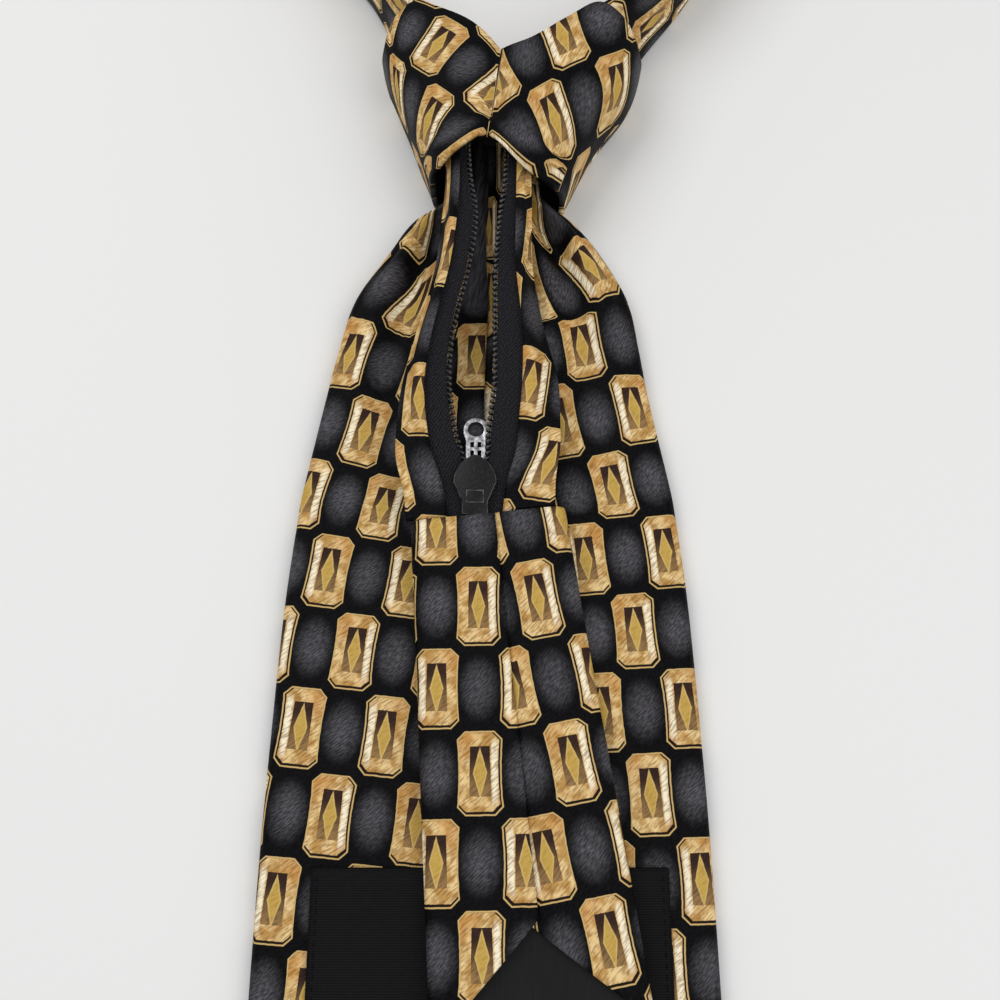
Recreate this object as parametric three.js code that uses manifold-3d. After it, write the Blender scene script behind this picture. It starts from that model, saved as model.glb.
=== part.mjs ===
// A ready-tied zipper tie that lies on its front with its back up, from the neck loop to the blade's point.
// Millimetres: X to the right, Y towards the knot, Z up from the surface that the tie lies on.
import * as THREE from "three";
import Module from "manifold-3d";
import { mergeVertices } from "three/addons/utils/BufferGeometryUtils.js";

// Cloth, and what lies on it
const CLOTH = 1; // one folded layer of silk with its share of the interlining
const GAP = 0.3; // between pieces that touch
const LAP = 3; // by this one back panel laps over the other at a seam
const LAP_FROM = 0.1; // of a back panel's width, where the panel that lies under starts to rise
const LAP_TO = 0.3; // of it, where that panel is level with the other

// Wide blade
const BLADE_WIDTH = 101; // at its shoulders
const BLADE_THICK = 4.6;
const BLADE_TOP = 96; // Y of the gathered end inside the knot
const BLADE_SHOULDER = -330; // Y where its sides turn in to the point
const BLADE_POINT = 50; // from the shoulders to the tip
const BLADE_PARTING = 40; // from the shoulders up to where the seam ends and the back panels part
const BLADE_CENTRE = 2; // X of its middle in the knot's mouth
const FOLD_DEPTH = 5; // of the gathers below the knot
const GATHERS = 2; // folds on each side of the seam
const GATHERS_FROM = 0.2; // of the half width, where they begin

// Label on the blade's back
const LABEL_WIDTH = 75;
const LABEL_HEIGHT = 50;
const LABEL_THICK = 1;
const LABEL_X = 1;
const LABEL_TOP = -83; // Y of its upper edge

// Narrow tail
const TAIL_HEM_WIDTH = 35.6;
const TAIL_WIDTH = 45; // at its shoulders
const TAIL_THICK = 4.8;
const TAIL_HEM_THICK = 7; // where the hem stands open round the zip
const TAIL_LENGTH = 106; // from the hem to the shoulders
const TAIL_POINT = 22.5; // from the shoulders to the tip
const TAIL_PARTING = 19.5; // from the shoulders up to the end of the seam
const TAIL_X = 0.4;
const TAIL_HEM = -7; // Y of the hem's middle
const TAIL_FLAT = 0.4; // of the way from the hem to the label, where the tail starts to rise onto it
const TAIL_RISEN = 0.85; // of that way, where it has risen
const TAIL_LEAN = THREE.MathUtils.degToRad(6); // to the right, away from the blade's centre line
const LINING_THICK = 1;
const LINING_TUCK = 5; // by this the lining goes in under the back panels
const LINING_MARGIN = 2.2; // of silk round the lining at the point
const LINING_TAPER = 0.9; // of its width at the shoulders, its width at the top

// Zip: coils, tapes and the cloth strips that they are sewn to
const COIL = 2.2; // diameter
const TAPE_THICK = 1;
const TAPE_TUCK = 1.2; // by this the tape goes under the strip
const TAPE_IN_TAIL = 14;
const ZIP_X = -2.6; // X of the slider's middle
const ZIP_TOP = 92; // Y of the ends inside the knot
const ZIP_HEADROOM = 4.5; // of the tapes below the knot's back at its mouth
const ZIP_SPREAD = 8; // the coils' largest distance from the slider's middle line
const TAPE_SHOWN = 6.5; // the widest stretch of tape that shows beside a coil
const STRIP_WIDTH = 12;
const STRIP_GAP = 0.5; // between a strip and the tape under it
const STRIP_DROP = 5; // of a strip's outer edge below its inner edge

// Slider and pull
const SLIDER_LENGTH = 13.8;
const SLIDER_WIDTH = 9.8;
const SLIDER_END = 5.9; // width of the narrow end
const SLIDER_PLATE = 1;
const SLIDER_CHANNEL = 2.8; // height between the plates
const SLIDER_PITCH = THREE.MathUtils.degToRad(8); // nose up, along the rising tapes
const FLANGE = 0.5; // thickness of the side flanges
const TAPE_SLOT = 1.6; // height of the slot between the flanges
const SLIDER_MOUTH = 6.2; // length at the nose that has no flanges
const WEDGE_WIDTH = 3.2;
const WEDGE_TIP = 0.15; // of the way from the slider's middle to its nose
const WEDGE_WIDEST = 0.8;
const WEDGE_NOSE = 0.95;
const JOIN = 0.1; // by this the slider's parts run into each other
const LUG_LENGTH = 6.4;
const LUG_WIDTH = 1.6;
const LUG_BAR = 0.6;
const LUG_PASSAGE = 1.3; // between the plate and the lug's bar
const PIVOT_Y = 0.6; // of the pull's bar from the slider's middle
const PULL_THICK = 0.9;
const PULL_BAR = 0.7; // depth of the bar under the lug
const PULL_WIDTH = 5;
const PULL_REACH = 14.4; // from the pivot to the middle of the ring end
const RING = 5.8; // diameter of the ring end
const RING_HOLE = 3.9;
const PULL_WINDOW = 2.7; // width of the window that the lug passes through
const PULL_CLEAR = 0.6; // between the lug's end and the window's
const PULL_TAPER = 0.92; // of the pull's width, the stem's
const STEM_FROM = 0.45; // of the reach, where the taper ends
const RING_NECK = 0.18; // of the ring's diameter, from its middle to where the stem runs in
const SLOT = 0.9; // width of the stem's slots
const SLOT_BAR = 0.8; // of metal between and above the slots
const SLOT_END = 1.8; // from the upper slots' lower ends to the ring
const PULL_REST = THREE.MathUtils.degToRad(3.5); // the free end's droop to the blade's back

// Knot
const KNOT_HEIGHT = 28;
const KNOT_WIDTH = 66; // across both lobes where the neckband leaves
const KNOT_LENGTH = 48; // from there to where the lobes are widest
const KNOT_BASE = 74; // Y that the knot's sections run from
const KNOT_WALL = 1.3;
const KNOT_WAIST = 0.45; // of the knot's height, the level of its widest line
const UPPER_ROUND = 2.3; // squareness of the section above that line, 2 for an ellipse
const LOWER_ROUND = 4.5; // and below it
const EDGE_TURN = 0.4; // of the height above or below it, over which the top edge turns
const MOUTH_LEFT = 3.7; // rise of the mouth's left corner from the base
const MOUTH_RIGHT = -0.5;
const MOUTH_CREASE = 10; // and of the top of its arch, at the crease
const MOUTH_POINT = 1.5; // how pointed the arch is, 1 for a plain V
const CREASE_DEPTH = 2.2;
const CREASE_WIDTH = 0.12; // of a lobe's width

// Neckband
const BAND_WIDTH = 23;
const BAND_THICK = 4.4;
const BAND_SLIT = 0.8; // between the folded edges along its inner side
const LOOP_WIDTH = 132;
const LOOP_LENGTH = 142; // from the knot's notch to the far side
const LOOP_X = 6; // X of the loop's middle
const LOOP_START = 110; // Y of the knot's notch

// Sections of the blade from its gathered end to its shoulders. at is the share of that run, width of the
// blade's width, lift of the knot's wall and clearance, fold of the gathers' depth, centre of the
// sideways shift to the mouth's middle.
const BLADE_SECTIONS = [
  { at: 0, width: 0.22, lift: 1, fold: 0.7, centre: 1 },
  { at: 0.043, width: 0.235, lift: 1, fold: 0.8, centre: 1 },
  { at: 0.05, width: 0.29, lift: 1, fold: 0.9, centre: 0.8 },
  { at: 0.059, width: 0.4, lift: 0.95, fold: 1, centre: 0.6 },
  { at: 0.077, width: 0.52, lift: 0.7, fold: 0.95, centre: 0.8 },
  { at: 0.106, width: 0.67, lift: 0.35, fold: 0.75, centre: 0.5 },
  { at: 0.136, width: 0.73, lift: 0.1, fold: 0.5, centre: 0.2 },
  { at: 0.167, width: 0.775, lift: 0, fold: 0.3, centre: 0 },
  { at: 0.225, width: 0.865, lift: 0, fold: 0, centre: 0 },
  { at: 0.238, width: 0.877, lift: 0, fold: 0, centre: 0 },
  { at: 0.282, width: 0.91, lift: 0, fold: 0, centre: 0 },
  { at: 0.336, width: 0.932, lift: 0, fold: 0, centre: 0 },
  { at: 0.437, width: 0.957, lift: 0, fold: 0, centre: 0 },
  { at: 1, width: 1, lift: 0, fold: 0, centre: 0 },
];

// One side of the zip from the tail's hem up into the knot. at is the share of that run; coil, tape and
// strip are shares of the coils' spread, of the tape that shows and of the strip's width; drop is the
// share of the strip's droop.
const ZIP_LEFT = [
  { at: 0, coil: 0.156, tape: 0.77, strip: 0.78, drop: 0 },
  { at: 0.07, coil: 0.156, tape: 0.92, strip: 0.76, drop: 0 },
  { at: 0.145, coil: 0.42, tape: 0.95, strip: 0.72, drop: 0.15 },
  { at: 0.2, coil: 0.64, tape: 0.89, strip: 0.63, drop: 0.3 },
  { at: 0.32, coil: 0.84, tape: 0.8, strip: 0.47, drop: 0.6 },
  { at: 0.45, coil: 0.74, tape: 0.65, strip: 0.37, drop: 0.85 },
  { at: 0.61, coil: 0.29, tape: 0.6, strip: 0.33, drop: 0.85 },
  { at: 0.74, coil: 0.08, tape: 0.6, strip: 0.33, drop: 0.8 },
  { at: 0.85, coil: 0.26, tape: 0.3, strip: 0.3, drop: 0.7 },
  { at: 1, coil: 0.37, tape: 0.3, strip: 0.3, drop: 0.4 },
];
const ZIP_RIGHT = [
  { at: 0, coil: 0.156, tape: 0.77, strip: 1, drop: 0 },
  { at: 0.07, coil: 0.156, tape: 0.92, strip: 0.94, drop: 0 },
  { at: 0.145, coil: 0.41, tape: 0.93, strip: 0.86, drop: 0.15 },
  { at: 0.2, coil: 0.45, tape: 0.97, strip: 0.82, drop: 0.3 },
  { at: 0.32, coil: 0.62, tape: 0.92, strip: 0.7, drop: 0.6 },
  { at: 0.45, coil: 0.63, tape: 0.9, strip: 0.45, drop: 0.85 },
  { at: 0.61, coil: 0.65, tape: 0.65, strip: 0.35, drop: 0.8 },
  { at: 0.74, coil: 0.78, tape: 0.5, strip: 0.33, drop: 0.5 },
  { at: 0.85, coil: 0.94, tape: 0.34, strip: 0.3, drop: 0.2 },
  { at: 1, coil: 0.98, tape: 0.34, strip: 0.3, drop: 0 },
];

// The tapes' climb from the hem to the knot, past the slope that the slider sets.
const ZIP_CLIMB = [
  { at: 0, rise: 0 },
  { at: 0.16, rise: 0.16 },
  { at: 0.45, rise: 0.5 },
  { at: 0.7, rise: 0.8 },
  { at: 0.86, rise: 0.95 },
  { at: 1, rise: 1 },
];

// The knot from its mouth to the lobes' tops: where its crease, left side and right side run, as shares
// of its width, and its height as a share of the full height.
const KNOT_SECTIONS = [
  { at: 0, crease: -0.015, left: 0.2, right: 0.29, height: 0.82 },
  { at: 0.12, crease: -0.005, left: 0.225, right: 0.33, height: 0.98 },
  { at: 0.25, crease: 0.005, left: 0.262, right: 0.375, height: 1 },
  { at: 0.4, crease: 0.02, left: 0.3, right: 0.44, height: 0.98 },
  { at: 0.6, crease: 0.035, left: 0.355, right: 0.545, height: 0.94 },
  { at: 0.78, crease: 0.05, left: 0.405, right: 0.595, height: 0.93 },
  { at: 1, crease: 0.06, left: 0.43, right: 0.62, height: 0.96 },
];

// The lobes' top edges seen from the back: at is the place across each lobe from the crease to its side,
// top the share of the knot's length that the cloth reaches there.
const LEFT_LOBE = [
  { at: 0, top: 0.76 },
  { at: 0.25, top: 0.9 },
  { at: 0.5, top: 1 },
  { at: 0.68, top: 1.07 },
  { at: 0.86, top: 1.01 },
  { at: 1, top: 0.86 },
];
const RIGHT_LOBE = [
  { at: 0, top: 0.76 },
  { at: 0.2, top: 0.8 },
  { at: 0.45, top: 0.94 },
  { at: 0.66, top: 1.06 },
  { at: 0.84, top: 1 },
  { at: 1, top: 0.83 },
];
const KNOT_FRONT_TOP = 0.8; // of the knot's length, where the front wrap ends

// The neckband's route from the left lobe round to the right one, as shares of the loop's width and
// length, with its height and its turn from face up at the knot to standing on edge.
const BAND_ROUTE = [
  { x: -0.11, y: -0.045, high: 0.02, turn: 0.38 },
  { x: -0.147, y: 0.01, high: 0.035, turn: 0.42 },
  { x: -0.191, y: 0.08, high: 0, turn: 0.68 },
  { x: -0.222, y: 0.15, high: 0, turn: 0.92 },
  { x: -0.28, y: 0.25, high: 0, turn: 1 },
  { x: -0.42, y: 0.43, high: 0, turn: 1 },
  { x: -0.49, y: 0.63, high: 0, turn: 1 },
  { x: -0.43, y: 0.83, high: 0, turn: 1 },
  { x: -0.24, y: 0.96, high: 0, turn: 1 },
  { x: 0, y: 1, high: 0, turn: 1 },
  { x: 0.24, y: 0.96, high: 0, turn: 1 },
  { x: 0.43, y: 0.83, high: 0, turn: 1 },
  { x: 0.5, y: 0.63, high: 0, turn: 1 },
  { x: 0.45, y: 0.41, high: 0, turn: 1 },
  { x: 0.345, y: 0.24, high: 0, turn: 0.98 },
  { x: 0.244, y: 0.13, high: 0, turn: 0.84 },
  { x: 0.177, y: 0.058, high: 0.018, turn: 0.61 },
  { x: 0.123, y: -0.004, high: 0.035, turn: 0.48 },
  { x: 0.07, y: -0.05, high: 0.02, turn: 0.38 },
];

function material(name, color, roughness, metalness = 0) {
  return new THREE.MeshStandardMaterial({ name, color, roughness, metalness });
}
const silk = material("silk", 0x2a2622, 0.55);
const satin = material("satin", 0x1b1b1e, 0.45);
const labelWeave = material("label_weave", 0x131314, 0.8);
const tapeWeave = material("tape_weave", 0x151517, 0.8);
const nylon = material("nylon", 0x101012, 0.4);
const enamel = material("black_enamel", 0x1a1a1c, 0.35, 0.4);
const nickel = material("nickel", 0xb9bcc0, 0.3, 1);

const { clamp, lerp, smoothstep } = THREE.MathUtils;

// The value of one column of a table between its rows, on a smooth curve through them.
function read(table, column, at) {
  let k = 0;
  while (k < table.length - 2 && at > table[k + 1].at) k++;
  const row = (n) => table[clamp(n, 0, table.length - 1)];
  const [before, low, high, after] = [row(k - 1), row(k), row(k + 1), row(k + 2)];
  const span = high.at - low.at;
  const slope = (a, b) => (span * (b[column] - a[column])) / (b.at - a.at);
  const t = clamp((at - low.at) / span, 0, 1);
  const out = slope(before, high) * (t ** 3 - 2 * t ** 2 + t);
  const into = slope(low, after) * (t ** 3 - t ** 2);
  const ease = 3 * t ** 2 - 2 * t ** 3;
  return low[column] * (1 - ease) + high[column] * ease + out + into;
}

// A sheet of one thickness whose outer face is the grid rows[i][j]; a ring closes its last column on the
// first. The inner face lies towards the side that the rows turn away from.
function sheet(rows, thick, ring = false) {
  const [high, wide] = [rows.length, rows[0].length];
  const column = (j) => (ring ? (j + wide) % wide : clamp(j, 0, wide - 1));
  const inner = rows.map((row, i) =>
    row.map((point, j) => {
      const across = row[column(j + 1)].clone().sub(row[column(j - 1)]);
      const down = rows[Math.min(i + 1, high - 1)][j].clone().sub(rows[Math.max(i - 1, 0)][j]);
      return point.clone().addScaledVector(across.cross(down).normalize(), -thick);
    }),
  );
  const positions = [...rows.flat(), ...inner.flat()].flatMap((p) => [p.x, p.y, p.z]);
  const faces = [];
  const quad = (a, b, c, d) => faces.push(a, b, c, a, c, d);
  const id = (i, j, side) => side * high * wide + i * wide + column(j);
  for (let i = 0; i < high - 1; i++) {
    for (let j = 0; j < (ring ? wide : wide - 1); j++) {
      quad(id(i, j, 0), id(i, j + 1, 0), id(i + 1, j + 1, 0), id(i + 1, j, 0));
      quad(id(i, j, 1), id(i + 1, j, 1), id(i + 1, j + 1, 1), id(i, j + 1, 1));
    }
    if (!ring) {
      quad(id(i, 0, 0), id(i + 1, 0, 0), id(i + 1, 0, 1), id(i, 0, 1));
      quad(id(i, wide - 1, 0), id(i, wide - 1, 1), id(i + 1, wide - 1, 1), id(i + 1, wide - 1, 0));
    }
  }
  for (let j = 0; j < (ring ? wide : wide - 1); j++) {
    quad(id(0, j, 0), id(0, j, 1), id(0, j + 1, 1), id(0, j + 1, 0));
    quad(id(high - 1, j, 0), id(high - 1, j + 1, 0), id(high - 1, j + 1, 1), id(high - 1, j, 1));
  }
  return new THREE.BufferGeometry()
    .setAttribute("position", new THREE.Float32BufferAttribute(positions, 3))
    .setIndex(faces);
}

const wasm = await Module();
wasm.setup();

function solid(geometry) {
  const bare = new THREE.BufferGeometry().setAttribute("position", geometry.getAttribute("position"));
  if (geometry.index) bare.setIndex(geometry.index);
  const merged = mergeVertices(bare, 1e-4);
  return new wasm.Manifold(
    new wasm.Mesh({
      numProp: 3,
      vertProperties: new Float32Array(merged.attributes.position.array),
      triVerts: new Uint32Array(merged.index.array),
    }),
  );
}

function geometryOf(body) {
  const mesh = body.getMesh();
  return new THREE.BufferGeometry()
    .setAttribute("position", new THREE.BufferAttribute(mesh.vertProperties, 3))
    .setIndex(new THREE.BufferAttribute(mesh.triVerts, 1));
}

function slab(shape, thick, low) {
  const options = { depth: thick, bevelEnabled: false, curveSegments: 10 };
  return new THREE.ExtrudeGeometry(shape, options).translate(0, 0, low);
}

const tie = new THREE.Group();

function add(name, geometry, material, parent = tie) {
  const mesh = new THREE.Mesh(geometry, material);
  mesh.name = name;
  parent.add(mesh);
  return mesh;
}

// The columns of a folded shell, from the left back panel's edge at the seam round the front to the right
// panel's. across is the place on a panel, and turn the place round a side fold.
const PANEL_STEPS = 7;
const FOLD_STEPS = 4;
const FRONT_STEPS = 12;
function shellColumns() {
  const panel = Array.from({ length: PANEL_STEPS }, (_, k) => ({ face: "back", across: k / PANEL_STEPS }));
  const fold = Array.from({ length: FOLD_STEPS + 1 }, (_, k) => ({ face: "fold", turn: k / FOLD_STEPS }));
  const left = [...panel, ...fold].map((column) => ({ ...column, side: -1 }));
  const right = [...panel, ...fold].map((column) => ({ ...column, side: 1 })).reverse();
  const front = Array.from({ length: FRONT_STEPS - 1 }, (_, k) => (2 * (k + 1)) / FRONT_STEPS - 1);
  return [...left, ...front.map((across) => ({ face: "front", across, side: 1 })), ...right];
}

// A folded, pointed shell that runs down from y = 0. half(y) and thick(y) size its section, base(x, y) is
// the height of its front and shift(y) moves the section sideways. shoulder, point and parting place its
// end, and steps gives the rows.
function foldedShell({ half, thick, base, shift = () => 0, shoulder, point, parting, steps }) {
  const columns = shellColumns();
  const lapDepth = CLOTH + GAP;
  const ends = { front: -point, fold: 0, back: parting };
  const rows = steps.map((share) =>
    columns.map(({ side, across, turn, face }) => {
      const reach = face === "fold" ? 1 : Math.abs(across);
      const y = (shoulder + ends[face] * (1 - reach)) * share;
      const [wide, high] = [half(y), thick(y)];
      const flat = wide - high / 2;
      if (face === "front") {
        return new THREE.Vector3(across * flat + shift(y), y, base(across * flat, y));
      }
      if (face === "fold") {
        const angle = Math.PI * (0.5 - turn);
        const x = side * (flat + (high / 2) * Math.cos(angle));
        const z = base(side * flat, y) + (high / 2) * (1 + Math.sin(angle));
        return new THREE.Vector3(x + shift(y), y, z);
      }
      const x = lerp(side < 0 ? LAP / 2 : -LAP / 2, side * flat, across);
      const under = 1 - clamp((across - LAP_FROM) / (LAP_TO - LAP_FROM), 0, 1);
      return new THREE.Vector3(x + shift(y), y, base(x, y) + high - (side > 0 ? lapDepth * under : 0));
    }),
  );
  return sheet(rows, CLOTH);
}

// Blade
const bladeRun = BLADE_TOP - BLADE_SHOULDER;
const bladeLift = KNOT_WALL + GAP;
const bladeAt = (y) => clamp(-y / bladeRun, 0, 1);
const bladeHalf = (y) => (BLADE_WIDTH / 2) * read(BLADE_SECTIONS, "width", bladeAt(y));
function bladeBase(x, y) {
  const at = bladeAt(y);
  const place = clamp((Math.abs(x) / bladeHalf(y) - GATHERS_FROM) / (1 - GATHERS_FROM), 0, 1);
  const wave = 0.5 - 0.5 * Math.cos(2 * Math.PI * GATHERS * place);
  const lift = bladeLift * Math.max(0, read(BLADE_SECTIONS, "lift", at));
  return lift + FOLD_DEPTH * Math.max(0, read(BLADE_SECTIONS, "fold", at)) * wave;
}
const bladeFirst = [0, 0.02, 0.045, 0.056, 0.066, 0.077, 0.091, 0.106, 0.12, 0.136, 0.152, 0.167, 0.195];
const BLADE_STEPS = 8; // along its straight lower part, from BLADE_STRAIGHT of the run
const BLADE_STRAIGHT = 0.282;
const bladeLast = Array.from({ length: BLADE_STEPS + 1 }, (_, k) => lerp(BLADE_STRAIGHT, 1, k / BLADE_STEPS));
const bladeRows = [...bladeFirst, 0.225, ...bladeLast];
const blade = add(
  "blade",
  foldedShell({
    half: bladeHalf,
    thick: () => BLADE_THICK,
    base: bladeBase,
    shift: (y) => BLADE_CENTRE * read(BLADE_SECTIONS, "centre", bladeAt(y)),
    shoulder: -bladeRun,
    point: BLADE_POINT,
    parting: BLADE_PARTING,
    steps: bladeRows,
  }),
  silk,
);
blade.position.y = BLADE_TOP;

// Label, flat on both back panels
const labelBase = BLADE_THICK + GAP;
const label = add("label", new THREE.BoxGeometry(LABEL_WIDTH, LABEL_HEIGHT, LABEL_THICK), labelWeave);
label.position.set(LABEL_X, LABEL_TOP - LABEL_HEIGHT / 2, labelBase + LABEL_THICK / 2);

// Tail, which lies on the blade above the label and on the label below it
const tail = new THREE.Group();
tail.position.set(TAIL_X, TAIL_HEM, 0);
tail.rotation.z = TAIL_LEAN;
tie.add(tail);
const tailLow = BLADE_THICK + GAP;
const tailHigh = labelBase + LABEL_THICK + GAP;
const labelReach = TAIL_HEM - LABEL_TOP;
const tailRise = (y) => smoothstep(-y / labelReach, TAIL_FLAT, TAIL_RISEN);
const tailBase = (x, y) => lerp(tailLow, tailHigh, tailRise(y));
const tailThick = (y) => lerp(TAIL_HEM_THICK, TAIL_THICK, smoothstep(-y / labelReach, 0, TAIL_FLAT));
const TAIL_STEPS = 12;
const tailHalf = (y) => lerp(TAIL_HEM_WIDTH, TAIL_WIDTH, clamp(-y / TAIL_LENGTH, 0, 1)) / 2;
add(
  "tail",
  foldedShell({
    half: tailHalf,
    thick: tailThick,
    base: tailBase,
    shoulder: -TAIL_LENGTH,
    point: TAIL_POINT,
    parting: TAIL_PARTING,
    steps: Array.from({ length: TAIL_STEPS + 1 }, (_, k) => k / TAIL_STEPS),
  }),
  silk,
  tail,
);

// Lining on the inside of the tail's front wall
const liningHalf = TAIL_WIDTH / 2 - TAIL_THICK / 2 - GAP;
const liningTop = -TAIL_LENGTH + TAIL_PARTING + LINING_TUCK;
const liningShape = new THREE.Shape()
  .moveTo(-liningHalf * LINING_TAPER, liningTop)
  .lineTo(-liningHalf, -TAIL_LENGTH)
  .lineTo(0, -TAIL_LENGTH - TAIL_POINT + LINING_MARGIN * 2)
  .lineTo(liningHalf, -TAIL_LENGTH)
  .lineTo(liningHalf * LINING_TAPER, liningTop);
add("tail_lining", slab(liningShape, LINING_THICK, tailHigh + CLOTH + GAP), satin, tail);

// Zip: its height follows the slider's pitch out of the hem and climbs to the knot's mouth
const zipRun = ZIP_TOP - TAIL_HEM;
const zipLow = tailLow + TAIL_HEM_THICK - CLOTH - GAP - CLOTH - GAP - TAPE_THICK / 2;
const zipHigh = KNOT_HEIGHT - KNOT_WALL - GAP - CLOTH - GAP - TAPE_THICK / 2 - ZIP_HEADROOM;
const zipInTail = tailLow + CLOTH + GAP + TAPE_THICK / 2;
function zipLevel(at) {
  if (at < 0) return lerp(zipLow, zipInTail, (-at * zipRun) / TAPE_IN_TAIL);
  return lerp(zipLow, zipHigh, read(ZIP_CLIMB, "rise", at));
}
const zipY = (x, at) => lerp(TAIL_HEM + (x - TAIL_X) * Math.tan(TAIL_LEAN) + GAP, ZIP_TOP, at);

const ZIP_STEPS = 18;
function zipSide(side, table) {
  const name = side < 0 ? "left" : "right";
  const shares = Array.from({ length: ZIP_STEPS + 1 }, (_, k) => k / ZIP_STEPS);
  const coilX = (at) => ZIP_X + side * ZIP_SPREAD * read(table, "coil", Math.max(at, 0));
  const tapeX = (at) => coilX(at) + side * TAPE_SHOWN * read(table, "tape", Math.max(at, 0));

  const tapeRows = [-TAPE_IN_TAIL / zipRun, -TAPE_IN_TAIL / 2 / zipRun, ...shares].map((at) => {
    const [near, far] = [coilX(at) + side * (COIL / 2 + GAP), tapeX(at) + side * TAPE_TUCK];
    const edges = side < 0 ? [near, far] : [far, near];
    return [0, 0.5, 1].map((k) => {
      const x = lerp(...edges, k);
      return new THREE.Vector3(x, lerp(TAIL_HEM, ZIP_TOP, at), zipLevel(at) + TAPE_THICK / 2);
    });
  });
  add("zip_tape_" + name, sheet(tapeRows.reverse(), TAPE_THICK), tapeWeave);

  const stripRows = shares.map((at) => {
    const near = tapeX(at);
    const far = near + side * STRIP_WIDTH * read(table, "strip", at);
    const drop = STRIP_DROP * read(table, "drop", at);
    const flat = (TAPE_TUCK + GAP) / Math.abs(far - near); // the share of the strip that lies on the tape
    return [0, flat, (1 + flat) / 2, 1].map((k) => {
      const x = lerp(near, far, k);
      const lift = TAPE_THICK / 2 + STRIP_GAP + CLOTH - drop * smoothstep(k, flat, 1);
      return new THREE.Vector3(x, zipY(x, at), zipLevel(at) + lift);
    });
  });
  const outward = stripRows.reverse().map((row) => (side > 0 ? row.reverse() : row));
  add("zip_strip_" + name, sheet(outward, CLOTH), silk);

  const coilY = (at) => lerp(TAIL_HEM + GAP, ZIP_TOP, at);
  const route = shares.map((at) => new THREE.Vector3(coilX(at), coilY(at), zipLevel(at)));
  const circle = new THREE.Shape().absarc(0, 0, COIL / 2, 0, 2 * Math.PI);
  const curve = new THREE.CatmullRomCurve3(route);
  add(
    "zip_coil_" + name,
    new THREE.ExtrudeGeometry(circle, { steps: 24, curveSegments: 4, extrudePath: curve }),
    nylon,
  );
}
zipSide(-1, ZIP_LEFT);
zipSide(1, ZIP_RIGHT);

// Slider: two shield-shaped plates, the wedge that parts the coils, flanges and the lug underneath
const sliderY = TAIL_HEM + GAP + SLIDER_LENGTH / 2;
const slider = new THREE.Group();
slider.position.set(ZIP_X, sliderY, zipLevel((sliderY - TAIL_HEM) / zipRun));
slider.rotation.x = SLIDER_PITCH;
tie.add(slider);
const [foot, nose] = [-SLIDER_LENGTH / 2, SLIDER_LENGTH / 2];
const plateOut = SLIDER_CHANNEL / 2 + SLIDER_PLATE;

// The outline's shares: of the half length from the middle to the foot, where the narrow end stops and
// where the side bends; of that to the nose, where it is widest and where the dome turns in; of the half
// width, the bend and the dome's flat top.
const SHIELD = { neck: 0.55, bend: 0.35, widest: 0.08, shoulder: 0.55, waist: 0.75, dome: 0.35 };
function shield(inset = 0, end = foot) {
  const [wide, narrow, top] = [SLIDER_WIDTH / 2 - inset, SLIDER_END / 2 - inset, nose - inset];
  return new THREE.Shape()
    .moveTo(-narrow, end)
    .lineTo(narrow, end)
    .lineTo(narrow, foot * SHIELD.neck)
    .quadraticCurveTo(wide * SHIELD.waist, foot * SHIELD.bend, wide, nose * SHIELD.widest)
    .bezierCurveTo(wide, nose * SHIELD.shoulder, wide * SHIELD.dome, top, 0, top)
    .bezierCurveTo(-wide * SHIELD.dome, top, -wide, nose * SHIELD.shoulder, -wide, nose * SHIELD.widest)
    .quadraticCurveTo(-wide * SHIELD.waist, foot * SHIELD.bend, -narrow, foot * SHIELD.neck);
}
const box = (wide, long, high, y, z) => solid(new THREE.BoxGeometry(wide, long, high).translate(0, y, z));
const plate = (low) => solid(slab(shield(), SLIDER_PLATE, low));
const wedgeShape = new THREE.Shape()
  .moveTo(0, nose * WEDGE_TIP)
  .lineTo(WEDGE_WIDTH / 2, nose * WEDGE_WIDEST)
  .lineTo(0, nose * WEDGE_NOSE)
  .lineTo(-WEDGE_WIDTH / 2, nose * WEDGE_WIDEST);
const wedge = solid(slab(wedgeShape, SLIDER_CHANNEL + 2 * JOIN, -SLIDER_CHANNEL / 2 - JOIN));
const flangeHeight = (SLIDER_CHANNEL - TAPE_SLOT) / 2 + JOIN;
function flange(low) {
  const inside = slab(shield(FLANGE, foot - SLIDER_PLATE), flangeHeight + 2 * JOIN, low - JOIN);
  return solid(slab(shield(), flangeHeight, low)).subtract(solid(inside));
}
const mouth = box(SLIDER_WIDTH + GAP, SLIDER_MOUTH, SLIDER_CHANNEL, nose - SLIDER_MOUTH / 2 + JOIN, 0);
const flanges = flange(TAPE_SLOT / 2).add(flange(-SLIDER_CHANNEL / 2 - JOIN)).subtract(mouth);
const lugHeight = LUG_PASSAGE + LUG_BAR + JOIN;
const passage = box(LUG_WIDTH + GAP, LUG_LENGTH - 2 * LUG_BAR, LUG_PASSAGE, 0, -plateOut - LUG_PASSAGE / 2);
const lug = box(LUG_WIDTH, LUG_LENGTH, lugHeight, 0, -plateOut + JOIN - lugHeight / 2).subtract(passage);
const plates = plate(SLIDER_CHANNEL / 2).add(plate(-plateOut));
add("slider", geometryOf(plates.add(wedge).add(flanges).add(lug)), enamel, slider);

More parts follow.
